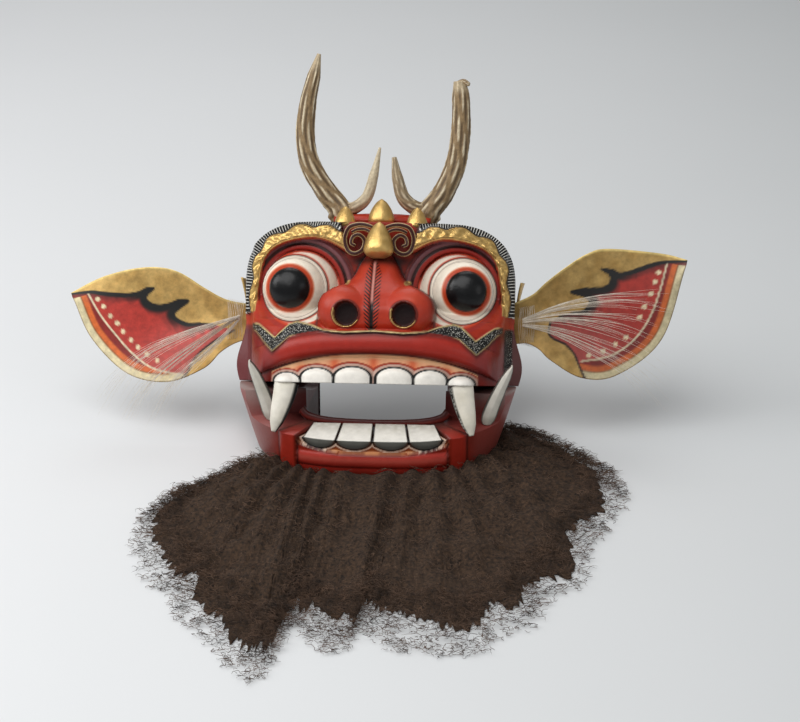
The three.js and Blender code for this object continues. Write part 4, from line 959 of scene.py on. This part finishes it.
def build_jaw(finish):
    bm = blank()
    columns, rows = 400, 46
    (outer, u, t), (inner, iu, it) = slab(bm, columns, rows)
    angle = jaw_angles(u)
    x0, y0 = jaw_oval(angle, JAW_TOP_HALF, JAW_LENGTH, JAW_POWER)
    z = t * jaw_top(x0, y0)
    half = JAW_HALF + JAW_FLARE * np.clip(z / JAW_FLARE_HEIGHT, 0, 1.2) ** 0.9
    foot = edge(JAW_FOOT_TOP - z, 1.6)
    half = half + (JAW_FOOT_HALF - half) * foot
    x, y = jaw_oval(angle, half, JAW_LENGTH - JAW_FOOT_INSET * foot, JAW_POWER)
    across = np.abs(x)
    front = (across < JAW_MOUTH_HALF) & (y0 < JAW_FRONT_END)
    y = y - np.where(front, 2.6 * bulge(((z - 22) / 6) ** 2), 0)
    y = y + np.where(front & (z > gum_line(x)), 4.6, 0)
    post = np.clip(1 - (np.abs(across - POST_X) / 8) ** 6, 0, 1) * (y0 < JAW_FRONT_END) * (z > 7.5)
    y = y - 3.2 * post
    place(bm, outer, from_table(x, y, z), jaw_coat(x, y, z, True))
    angle = jaw_angles(iu)
    x0, y0 = jaw_oval(angle, JAW_TOP_HALF, JAW_LENGTH, JAW_POWER)
    top = np.where((np.abs(x0) < JAW_MOUTH_HALF) & (y0 < JAW_FRONT_END), 36.0, jaw_top(x0, y0))
    z = it * top
    x, y = jaw_oval(angle, TROUGH_HALF, 80.0, 6.0)
    back = np.clip((y + 15) / 70, 0, 1)
    x = x * np.where(x < 0, 1 - 0.16 * back, 1 - 0.06 * back)
    y = np.where(np.abs(y0 - HINGE_Y) < 1, HINGE_Y, y)
    place(bm, inner, from_table(x, y, z), jaw_coat(x, y, z, False))
    # Floor
    (top_side, u, t), (low_side, lu, lt) = slab(bm, 30, 24)
    for verts, fu, ft, height in ((top_side, u, t, 12.0), (low_side, lu, lt, 0.3)):
        x = (2 * fu - 1) * TROUGH_HALF
        y = -28 + 70 * ft
        z = np.full(len(x), height)
        coat = Coat(len(x), linear("#3A1A16"))
        coat.lay(MAROON, 0.6 * cloud(x, y, 9, 37))
        place(bm, verts, from_table(x, y, z), coat)

    def bead_coat(angle, t, spot):
        return Coat(len(t), OXBLOOD)

    def ridge_coat(angle, t, spot):
        coat = Coat(len(t), linear("#6E2620"))
        coat.lay(linear("#38100E"), 0.8 * edge(np.cos(angle) - 0.3, 0.6))
        return coat

    # Ridge behind the teeth, rising into the walls
    ridge = [(-60, -17, 49), (-54, -21, 45), (-36, -24, 42.5), (0, -25, 41.5)]
    ridge += [(-x, y, z) for x, y, z in ridge[-2::-1]]
    bar(bm, ridge, [4, 3.6, 3.2, 3.2, 3.2, 3.6, 4], 12, 60, ridge_coat,
        to=from_table, side=(0, 0, 1), flat=0.7)
    for side in (-1, 1):
        bead = [(side * across, HINGE_Y, HINGE_Z) for across in HINGE_ACROSS]
        bar(bm, bead, [HINGE_R, HINGE_R], 12, 6, bead_coat, to=from_table)
        for middle, half in LOWER_TEETH:
            lower_tooth(bm, side, middle, half)
    return keep(bm, "jaw_carving", finish, "jaw", ["lower_jaw"])


def lower_tooth(bm, side, middle, half):
    """A tooth with a scalloped grey front and a pale chewing face that leans back and narrows."""
    (skin, u, t), (root, ru, rt) = slab(bm, 26, 40)
    s = 2 * u - 1
    low = 38.4 - 8.4 * np.maximum(1 - s * s, 0) ** 0.55
    face = np.clip(t / 0.3, 0, 1)
    over = np.clip((t - 0.3) / 0.7, 0, 1)
    x = (side * middle + s * (half - 0.2)) * (1 - 0.12 * over)
    z = low + (38.7 - low) * face + 3.6 * over
    start = jaw_front(x) + 1.6 + 1.6 * (1 - face)
    y = start + (jaw_front(0) + 28.5 - start) * over
    coat = Coat(len(x), linear("#7C7D76"))
    coat.lay(linear("#4A4E4A"), 0.8 * edge(0.16 - t, 0.16))
    coat.lay(WHITE, edge(t - 0.31, 0.02), gloss=0.3)
    coat.lay(linear("#C4BCA8"), 0.6 * edge(t - 0.7, 0.5) * cloud(x, y, 3, 41))
    coat.lay(linear("#26221E"), edge(np.abs(s) - 0.955, 0.05) * edge(t - 0.28, 0.05))
    coat.lay(BLACK, 0.9 * edge(0.04 - t, 0.05))
    place(bm, skin, from_table(x, y, z), coat)
    s = 2 * ru - 1
    over = np.clip((rt - 0.3) / 0.7, 0, 1)
    x = (side * middle + s * (half - 0.2)) * (1 - 0.12 * over)
    start = jaw_front(x) + 5.5
    y = start + (jaw_front(0) + 28.5 - start) * over
    z = np.full(len(x), 31.0) + 4 * rt
    place(bm, root, from_table(x, y, z), Coat(len(x), linear("#8A4A22")))


def build_fangs(finish):
    for name, side in (("fang_left", -1), ("fang_right", 1)):
        bm = blank()
        points = [(side * across, up, forward) for across, up, forward in FANG_LINE]

        def coat_of(angle, t, spot, side=side):
            coat = Coat(len(t), BONE)
            coat.lay(WHITE, 0.6 * cloud(spot[:, 0], spot[:, 1], 9, 43), gloss=0.3)
            coat.lay(linear("#A9A494"), 0.4 * edge(t - 0.75, 0.4))
            inner = -side * np.cos(angle)
            coat.lay(BLACK, edge(inner - 0.74, 0.16))
            if side > 0:
                dots = chance(np.floor(spot[:, 1] / 1.0), np.floor(spot[:, 2] / 1.0), 47) > 0.6
                coat.lay(STIPPLE, edge(inner - 0.8, 0.1) * dots * 0.8)
            return coat

        bar(bm, points, [10, 9.6, 8.8, 7.4, 5.6, 2.0], 22, 44, coat_of, flat=0.7, side=(1, 0, 0))
        keep(bm, name + "_carving", finish, "head", [name])


def build_tusks(finish):
    for name, (side, start, end) in TUSK_ACROSS.items():
        bm = blank()
        for sign, (verts, u, t) in zip((-1, 1), slab(bm, 18, 50)):
            s = 2 * u - 1
            half = np.interp(t, [0, 0.06, 0.15, 0.5, 0.8, 0.93, 1], [3.6, 5.4, 6.2, 5.6, 4.2, 2.6, 0.7])
            x = side * (start + (end - start) * t ** 1.25 + s * half)
            thick = 7.6 * (1 - 0.45 * t)
            y = -21.5 + sign * (thick / 2 - 0.9 * np.abs(s) ** 4) - (1.4 * (1 - np.abs(s)) if sign < 0 else 0)
            z = 42.6 + 51.4 * t
            coat = Coat(len(x), linear("#C9C5B8"))
            coat.lay(WHITE, 0.4 * cloud(x, z, 12, 53))
            coat.lay(linear("#2E2A26"), 0.9 * edge(np.abs(s) - 0.86, 0.1))
            coat.lay(linear("#8F887A"), 0.5 * edge(0.12 - t, 0.12))
            place(bm, verts, from_table(x, y, z), coat)
        keep(bm, name + "_board", finish, "jaw", [name])


# Antlers, ears and temple leaves

def build_antlers(finish):
    for name, part in ANTLERS.items():
        bm = blank()
        seed = 61 if name.endswith("left") else 67

        def ridges(angle, t, scale=1.0):
            wander = 0.9 * np.sin(5 * t + seed)
            rope = np.cos(11 * angle + 9 * t + wander * 3) * 0.5 + np.cos(7 * angle - 14 * t + seed) * 0.5
            return rope * scale

        def beam_carve(angle, t):
            worn = edge(0.93 - t, 0.2)
            burr = 0.22 * np.exp(-((t - 0.12) / 0.03) ** 2) * (0.6 + 0.4 * np.cos(13 * angle))
            pearls = 0.05 * (cloud(angle * 9, t * 120, 1.6, seed) - 0.4)
            return 1 + worn * (0.065 * ridges(angle, t) + pearls) + burr

        def beam_coat(angle, t, spot):
            coat = Coat(len(t), linear("#8C7350"))
            high = ridges(angle, t)
            coat.lay(linear("#4A3620"), 0.75 * edge(-high - 0.35, 0.5))
            worn = 0.5 + 0.5 * cloud(angle * 6, t * 60, 2, seed)
            coat.lay(linear("#E6D8BA"), 0.9 * edge(high - 0.5, 0.3) * worn)
            coat.lay(linear("#C9B796"), 0.6 * edge(t - 0.9, 0.1))
            return coat

        def tine_coat(angle, t, spot):
            coat = beam_coat(angle, t * 0.8, spot)
            coat.lay(linear("#CFC0A2"), part["ivory_tine"] * edge(t - 0.35, 0.4))
            return coat

        bar(bm, part["beam"], part["beam_radius"], 34, 130, beam_coat, side=(0, 0, 1), carve=beam_carve)
        bar(bm, part["tine"], part["tine_radius"], 20, 60, tine_coat, side=(0, 0, 1),
            carve=lambda a, t: 1 + 0.05 * ridges(a, t) * edge(0.7 - t, 0.3))
        if "hook" in part:
            bar(bm, part["hook"], part["hook_radius"], 14, 20, beam_coat, side=(0, 0, 1))
        keep(bm, name + "_horn", finish, "head", [name])


def ear_coat(part, x, up, facing):
    coat = Coat(len(x), OLD_GOLD)
    if not facing:
        coat.lay(RAWHIDE, 1.0)
        coat.lay(linear("#5B4228"), 0.6 * cloud(x, up, 14, 71))
        return coat
    coat.gilt[:] = 1
    coat.lay(GOLD, 0.25 + 0.6 * cloud(x, up, 7, 73), gilt=1)
    # Painted shade: the gold is darkened by the ear's light share
    coat.shade(np.full(len(x), part["light"]))
    wave = smooth_line(part["wave"], 160)
    flap = smooth_line(part["flap"], 50)
    lower = smooth_line(part["lower"], 120)
    upper = smooth_line(part["upper"], 120)
    rim = nearest(upper, x, up)[0]
    coat.lay(linear("#F0D58A"), 0.8 * edge(1.6 - rim, 1.4), gilt=0.8)
    below = lower[lower[:, 1] < 200]
    field = np.vstack([wave, flap, below[np.abs(below[:, 0]) > np.abs(flap[-1, 0])]])
    red = edge(np.where(inside(field, x, up), 1.0, -1.0), 0.5)
    wave_gap, wave_share = nearest(wave, x, up)
    flap_gap = nearest(flap, x, up)[0]
    low_gap = nearest(lower, x, up)[0]
    cream_line = smooth_line(part["cream"], 60)
    cream_gap = nearest(cream_line, x, up)[0]
    # Painted shade: the paints below are darkened by the same light share
    light = part["light"]
    coat.lay(linear("#B8352A") * light, red)
    coat.lay(linear("#D2635C") * light, red * 0.6 * edge(30 - flap_gap, 50))
    # Brushed black that feathers down from the wavy line
    feather = 5 + 9 * cloud(x + 0.6 * up, up * 0.15, 2.2, 79) * (0.4 + 0.6 * wave_share)
    coat.lay(BLACK, red * 0.9 * np.clip(1 - wave_gap / feather, 0, 1) ** 0.8)
    hook = edge(wave_share - 0.2, 0.1) * edge(0.85 - wave_share, 0.1)
    coat.lay(BLACK, red * hook * edge(5.5 - wave_gap, 4))
    # Bands along the outer edge
    ring = np.vstack([cream_line, below[np.abs(below[:, 0]) > np.abs(cream_line[-1, 0]) - 8]])
    beyond = inside(ring, x, up).astype(float) * red * (low_gap < 60)
    coat.lay(linear("#8A2018") * light, beyond)
    coat.lay(linear("#DB6A2C") * light, beyond * edge(11.5 - low_gap, 2.0))
    coat.lay(linear("#9A5A24") * light, beyond * edge(7.2 - low_gap, 1.2))
    coat.lay(linear("#E6D7AC") * light, beyond * edge(6.0 - low_gap, 1.6), gilt=0.2)
    coat.lay(linear("#EAD9B6") * light, red * edge(0.75 - cream_gap, 0.8))
    for dot_x, dot_up in part["dots"]:
        dot = edge(2.0 - np.hypot(x - dot_x, up - dot_up), 0.9)
        coat.lay(linear("#F0DDB4") * (0.4 + 0.6 * light), red * dot)
    # Outlines
    stroke = 0.7 + 1.3 * np.abs(np.sin(math.pi * 3 * wave_share)) * (wave_share < 0.95)
    coat.lay(BLACK, edge(stroke - wave_gap, 0.9))
    coat.lay(linear("#2E1812"), edge(1.0 - flap_gap, 0.9))
    coat.lay(linear("#6B4A28"), 0.7 * edge(0.7 - low_gap, 0.8))
    return coat


def build_ears(finish):
    for name, part in EARS.items():
        bm = blank()
        upper, lower = smooth_line(part["upper"], 200), smooth_line(part["lower"], 200)
        shares = np.linspace(0, 1, 200)
        for sign, (verts, u, t) in zip((1, -1), slab(bm, 150, 84)):
            share = np.clip(u, 0, 1)
            high = np.column_stack([np.interp(share, shares, upper[:, k]) for k in range(2)])
            low = np.column_stack([np.interp(share, shares, lower[:, k]) for k in range(2)])
            spot = low + (high - low) * t[:, None]
            across = 2 * t - 1
            cup = 9 * across ** 2 * np.sin(math.pi * np.minimum(share + 0.12, 1))
            lean = 3 + 7 * share
            wave = 0.8 * np.sin(9 * share + 3 * across)
            forward = lean + cup + wave + sign * (1.2 - 0.6 * np.abs(across) ** 6)
            coat = ear_coat(part, spot[:, 0], spot[:, 1], sign > 0)
            place(bm, verts, from_face(spot[:, 0], spot[:, 1], forward), coat)
        keep(bm, name + "_leaf", finish, "head", [name])


def build_fins(finish):
    for name, side in (("temple_fin_left", -1), ("temple_fin_right", 1)):
        bm = blank()
        for sign, (verts, u, t) in zip((1, -1), slab(bm, 12, 20)):
            s = 2 * u - 1
            narrow = np.maximum(t, 0.06) ** 0.7
            forward = -3 + s * narrow * 15
            fold = 2.2 * (1 - np.abs(s)) * t
            x = 114.4 + 3.6 * t ** 2 + fold + sign * 0.8
            up = 58 + 29 * t
            coat = Coat(len(x), GOLD)
            coat.gilt[:] = 1
            coat.lay(OLD_GOLD, 0.5 * cloud(forward, up, 4, 83), gilt=1)
            place(bm, verts, from_face(side * x, up, forward), coat)
        keep(bm, name + "_leaf", finish, "head", [name])


# Hair

def build_ear_hair(finish, count):
    dice = np.random.default_rng(89)
    for name, locks in EAR_HAIR.items():
        paths = []
        for index, lock in enumerate(locks):
            line = smooth_line(lock, 12)
            for _ in range(count):
                reach = dice.uniform(0.35, 1.0) ** 0.7
                shares = np.linspace(0, reach, 11)
                x = np.interp(shares, np.linspace(0, 1, 12), line[:, 0])
                up = np.interp(shares, np.linspace(0, 1, 12), line[:, 1])
                spread = dice.normal(0, 1, 2)
                grow = 0.6 + 9.0 * shares ** 1.3
                x = x + spread[0] * grow * 0.6
                up = up + spread[1] * grow
                up = up + 1.2 * np.sin(9 * shares + dice.uniform(0, 6)) * shares
                forward = 13 + 9 * np.minimum(shares * 4, 1) + dice.uniform(0, 5) + 2 * index + 3 * shares
                path = from_face(x, up, forward)
                path[:, 2] = np.maximum(path[:, 2], 0.0015)
                paths.append(path)
        # Thread whipped round the neck of the ear
        sign = -1 if name.endswith("left") else 1
        for turn in range(11):
            angle = np.linspace(0, 2 * math.pi, 15)
            x = sign * (117 + 1.25 * turn) + 0.6 * np.sin(3 * angle + turn)
            up = 51 + (15.5 + 0.25 * turn) * np.cos(angle)
            forward = 6 + 8.5 * np.sin(angle)
            paths.append(from_face(x, up, forward))
        hairs(name + "_tuft", paths, 0.3, finish, "head", [name])


def beard_place(share, row):
    """Where the beard lies on the table at a share round the jaw and a share outwards, and how high."""
    tips = np.array(BEARD_TIPS, float)
    locks = np.arange(len(tips))
    lock = share * locks[-1]
    tip_x, tip_y = np.interp(lock, locks, tips[:, 0]), np.interp(lock, locks, tips[:, 1])
    angle = np.radians(np.interp(lock, [0, BEARD_LEFT_LOCKS, locks[-1]], BEARD_TURN))
    x0, y0 = jaw_oval(angle, BEARD_ROOT_HALF, BEARD_ROOT_LENGTH, JAW_POWER)
    furrow = 0.86 - 0.14 * np.cos(math.pi * lock)
    full = furrow * np.minimum(np.hypot(tip_x - x0, tip_y - y0) / BEARD_FULL_RUN, 1)
    reach = row ** 1.15
    crown = np.maximum(np.sin(math.pi * np.clip(row, 0.004, 1) ** 0.55), 0) ** 0.8
    height = BEARD_EDGE + BEARD_SWELL * full * crown
    return x0 + (tip_x - x0) * reach, y0 + (tip_y - y0) * reach, height


def beard_lumps(x, y):
    """Rise and fall of the beard's top, in lumps of two sizes."""
    return 7 * (cloud(x, y, 26, 95) - 0.5) + 6 * (cloud(x, y, 12, 97) - 0.5)


def build_beard(mat_finish, loose_finish, pieces, count):
    bm = blank()
    for sign, (verts, u, t) in zip((1, -1), slab(bm, MAT_COLUMNS, MAT_ROWS)):
        column = np.round(u * MAT_COLUMNS)
        ragged = 0.79 + 0.09 * cloud(u * 400, u * 0, 8, 91) + 0.05 * chance(column, column * 0, 93)
        x, y, top = beard_place(u, ragged * t)
        lumps = beard_lumps(x, y) + 5 * (cloud(x, y, 5, 101) - 0.5)
        lumps = lumps * np.clip(4 * t, 0, 1) * (1 - t ** 8)
        high = np.maximum((top - BEARD_EDGE) * (1 - t ** 5) + lumps, 1.2)
        z = high if sign > 0 else np.full(len(x), 0.6)
        place(bm, verts, from_table(x, y, z), Coat(len(x), BLACK))
    keep(bm, "beard_mat", mat_finish, "jaw", ["beard"])
    dice = np.random.default_rng(103)
    steps = np.linspace(0, 1, HAIR_POINTS)[None, :]
    for index in range(pieces):
        share = dice.uniform(0, 1, (count, 1))
        even = 0.97 * dice.uniform(0, 1, (count, 1)) ** 0.7
        rim = 0.74 + 0.25 * dice.uniform(0, 1, (count, 1)) ** 1.5
        start = np.where(dice.uniform(0, 1, (count, 1)) < 0.3, even, rim)
        x, y, top = beard_place(share, start)
        # Each hair sets off outwards, more or less, and then curls
        ahead_x, ahead_y, _ = beard_place(share, np.minimum(start + 0.05, 1.02))
        heading = np.arctan2(ahead_y - y, ahead_x - x) + dice.normal(0, 0.8, (count, 1))
        length = dice.uniform(6, 15, (count, 1)) * np.interp(start, [0, 0.2, 0.9, 1], [0.6, 1, 1, 0.75])
        wave = dice.uniform(4, 9, (count, 1)) * steps + dice.uniform(0, 6.3, (count, 1))
        heading = heading + dice.normal(0, 2.2, (count, 1)) * steps + 1.1 * np.sin(wave)
        run = length / (HAIR_POINTS - 1)
        x = x + np.cumsum(np.cos(heading) * run, axis=1)
        y = y + np.cumsum(np.sin(heading) * run, axis=1)
        lumps = beard_lumps(x, y)
        rise = dice.uniform(-0.4, 1.0, (count, 1)) * length * 0.3 * np.sin(math.pi * 0.8 * steps)
        z = (top - 2.5) * np.interp(start, [0, 0.75, 1], [1, 0.95, 0.6]) + lumps * (start < 0.85) + rise
        # Hair stays clear of the jaw
        hidden = (np.abs(x) < 96) & (y > jaw_front(np.minimum(np.abs(x), 96)) + 4)
        z = np.where(hidden, np.minimum(z, 5.5), z)
        spots = from_table(x, y, np.maximum(z, 0.7))
        name = f"beard_locks_{index + 1}"
        hairs(name, spots, BEARD_HAIR_WIDTH, loose_finish, "jaw", ["beard"])


# Add-on

class BarongSizes(bpy.types.PropertyGroup):
    beard_hairs: bpy.props.IntProperty(
        name="Beard hairs", description="Hairs in each lock group of the beard", default=3500, min=100)
    beard_groups: bpy.props.IntProperty(
        name="Lock groups", description="Groups of locks that make up the beard", default=3, min=1)
    ear_hairs: bpy.props.IntProperty(
        name="Ear hairs", description="White hairs in each lock over an ear", default=24, min=1)
    view_distance: bpy.props.FloatProperty(
        name="View distance", description="From the camera to the mask", default=2.2, unit="LENGTH")
    view_height: bpy.props.FloatProperty(
        name="View height", description="How steeply the camera looks down", default=TILT, subtype="ANGLE")
    view_turn: bpy.props.FloatProperty(
        name="View turn", description="How far the camera stands to the right",
        default=math.radians(3), subtype="ANGLE")


class BARONG_OT_face(bpy.types.Operator):
    """Carves and paints the face with its brows, eyes, nose, lip and upper teeth"""
    bl_idname = "barong.face"
    bl_label = "Face"

    def execute(self, context):
        build_face(bpy.data.materials["lacquered_carved_wood"])
        return {"FINISHED"}


class BARONG_OT_jaw(bpy.types.Operator):
    """Carves and paints the lower jaw with its teeth"""
    bl_idname = "barong.jaw"
    bl_label = "Lower jaw"

    def execute(self, context):
        build_jaw(bpy.data.materials["lacquered_carved_wood"])
        return {"FINISHED"}


class BARONG_OT_fangs(bpy.types.Operator):
    """Makes the upper fangs and the tusks of the jaw"""
    bl_idname = "barong.fangs"
    bl_label = "Fangs and tusks"

    def execute(self, context):
        build_fangs(bpy.data.materials["lacquered_carved_wood"])
        build_tusks(bpy.data.materials["lacquered_carved_wood"])
        return {"FINISHED"}


class BARONG_OT_antlers(bpy.types.Operator):
    """Makes the two antlers"""
    bl_idname = "barong.antlers"
    bl_label = "Antlers"

    def execute(self, context):
        build_antlers(deer_antler())
        return {"FINISHED"}


class BARONG_OT_ears(bpy.types.Operator):
    """Makes the rawhide ears and the gilded leaves at the temples"""
    bl_idname = "barong.ears"
    bl_label = "Ears and temple leaves"

    def execute(self, context):
        hide = ear_rawhide()
        build_ears(hide)
        build_fins(hide)
        return {"FINISHED"}


class BARONG_OT_ear_hair(bpy.types.Operator):
    """Lays white hair over the ears"""
    bl_idname = "barong.ear_hair"
    bl_label = "Ear hair"

    def execute(self, context):
        # Strands are drawn coarser than real hair, which is too fine to show
        white = hair_finish("white_horse_hair", linear("#C9BEAE"), linear("#F2EBDD"), 0.006, 0.5)
        build_ear_hair(white, context.scene.barong.ear_hairs)
        return {"FINISHED"}


class BARONG_OT_beard(bpy.types.Operator):
    """Makes the beard: a dark mat and the loose frizzy hairs on it"""
    bl_idname = "barong.beard"
    bl_label = "Beard"

    def execute(self, context):
        sizes = context.scene.barong
        # Strands are drawn coarser than real hair, which is too fine to show
        mat = hair_finish("felted_goat_hair", linear("#1A120D"), linear("#4E3A2A"), 0.003, 0.95)
        loose = hair_finish("loose_goat_hair", linear("#241A13"), linear("#6A5140"), 0.012, 0.75)
        build_beard(mat, loose, sizes.beard_groups, sizes.beard_hairs)
        return {"FINISHED"}


class BARONG_OT_stage(bpy.types.Operator):
    """Sets the pale floor, the lights and the camera"""
    bl_idname = "barong.stage"
    bl_label = "Stage"

    def execute(self, context):
        build_stage(context.scene)
        return {"FINISHED"}


class BARONG_PT_panel(bpy.types.Panel):
    """Lists the steps that build the mask"""
    bl_idname = "BARONG_PT_panel"
    bl_label = "Barong mask"
    bl_space_type = "VIEW_3D"
    bl_region_type = "UI"
    bl_category = "Barong mask"

    def draw(self, context):
        for step in STEPS:
            self.layout.operator(step.bl_idname)


STEPS = (BARONG_OT_face, BARONG_OT_jaw, BARONG_OT_fangs, BARONG_OT_antlers, BARONG_OT_ears,
         BARONG_OT_ear_hair, BARONG_OT_beard, BARONG_OT_stage)


def build_stage(scene):
    # Paper sweep in metres: flat from the front edge, then bent up into a wall
    wide, long, flat, bend, front_edge = 12, 14.0, 11.0, 0.9, -5.0
    bm = bmesh.new()
    made = bmesh.ops.create_grid(bm, x_segments=8, y_segments=140, size=0.5)
    for vert in made["verts"]:
        run = (vert.co.y + 0.5) * long
        turn = min(max(run - flat, 0) / bend, math.pi / 2)
        rest = max(run - flat - bend * math.pi / 2, 0)
        y = front_edge + min(run, flat) + bend * math.sin(turn)
        vert.co = (vert.co.x * wide, y, bend * (1 - math.cos(turn)) + rest)
    for face in bm.faces:
        face.smooth = True
    mesh = bpy.data.meshes.new("floor_sweep")
    bm.to_mesh(mesh)
    bm.free()
    floor = bpy.data.objects.new("floor_sweep", mesh)
    scene.collection.objects.link(floor)
    paper, tree, shader = new_finish("matte_paper_sweep")
    # Paper with a faint cloud in it, which falls off into shade on the right
    spot = node(tree, "ShaderNodeTexCoord").outputs["Object"]
    across = node(tree, "ShaderNodeSeparateXYZ", Vector=spot).outputs["X"]
    fall = node(tree, "ShaderNodeMapRange", Value=across, From_Min=-0.5, From_Max=1.2)
    fibre = node(tree, "ShaderNodeTexNoise", Vector=spot, Scale=1 / 0.3, Detail=3.0)
    drift = node(tree, "ShaderNodeMath", {"operation": "MULTIPLY_ADD"},
                 i0=fibre.outputs["Fac"], i1=0.1, i2=fall.outputs["Result"])
    tone = node(tree, "ShaderNodeMix", {"data_type": "RGBA"},
                i0=drift.outputs["Value"], i6=(*linear("#E4E5E6"), 1), i7=(*linear("#BEC1C1"), 1))
    tree.links.new(tone.outputs[2], shader.inputs["Base Color"])
    shader.inputs["Roughness"].default_value = 0.9
    mesh.materials.append(paper)
    lamps = [
        ("soft_top", (-0.5, -0.8, 1.8), (0, 0.0, 0.1), 1.6, 24.0),
        ("soft_left", (-1.8, -0.3, 1.3), (0, 0.2, 0.1), 1.1, 18.0),
        ("soft_right", (1.7, -1.3, 1.0), (0, 0, 0.12), 1.0, 3.0),
        ("soft_back", (-0.1, 1.2, 1.5), (0, 0.1, 0.0), 1.0, 6.0),
    ]
    for name, place_, aim, size, power in lamps:
        lamp = bpy.data.lights.new(name, "AREA")
        lamp.energy = power
        lamp.size = size
        holder = bpy.data.objects.new(name, lamp)
        holder.location = place_
        holder.rotation_euler = (Vector(aim) - Vector(place_)).to_track_quat("-Z", "Y").to_euler()
        scene.collection.objects.link(holder)
    world = bpy.data.worlds.new("studio")
    world.use_nodes = True
    world.node_tree.nodes["Background"].inputs["Color"].default_value = (*linear("#EEF0F2"), 1)
    world.node_tree.nodes["Background"].inputs["Strength"].default_value = 0.36
    scene.world = world
    scene.view_settings.view_transform = "Standard"
    sizes = scene.barong
    rise, turn, far = sizes.view_height, sizes.view_turn, sizes.view_distance
    aim = Vector(VIEW_AIM) * MM
    back = Vector((math.sin(turn) * math.cos(rise), -math.cos(turn) * math.cos(rise), math.sin(rise)))
    lens = bpy.data.cameras.new("camera")
    lens.sensor_width = 36.0
    lens.lens = VIEW_LENS
    lens.clip_end = 60
    camera = bpy.data.objects.new("camera", lens)
    camera.location = aim + back * far
    camera.rotation_euler = (-back).to_track_quat("-Z", "Y").to_euler()
    scene.collection.objects.link(camera)
    scene.camera = camera


CLASSES = (BarongSizes, *STEPS, BARONG_PT_panel)


def register():
    for item in CLASSES:
        bpy.utils.register_class(item)
    bpy.types.Scene.barong = bpy.props.PointerProperty(type=BarongSizes)


def unregister():
    del bpy.types.Scene.barong
    for item in reversed(CLASSES):
        bpy.utils.unregister_class(item)


def main():
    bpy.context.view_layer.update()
    register()
    painted_wood()
    bpy.ops.barong.face()
    bpy.ops.barong.jaw()
    bpy.ops.barong.fangs()
    bpy.ops.barong.antlers()
    bpy.ops.barong.ears()
    bpy.ops.barong.ear_hair()
    bpy.ops.barong.beard()
    bpy.ops.barong.stage()


if __name__ == "__main__":
    main()
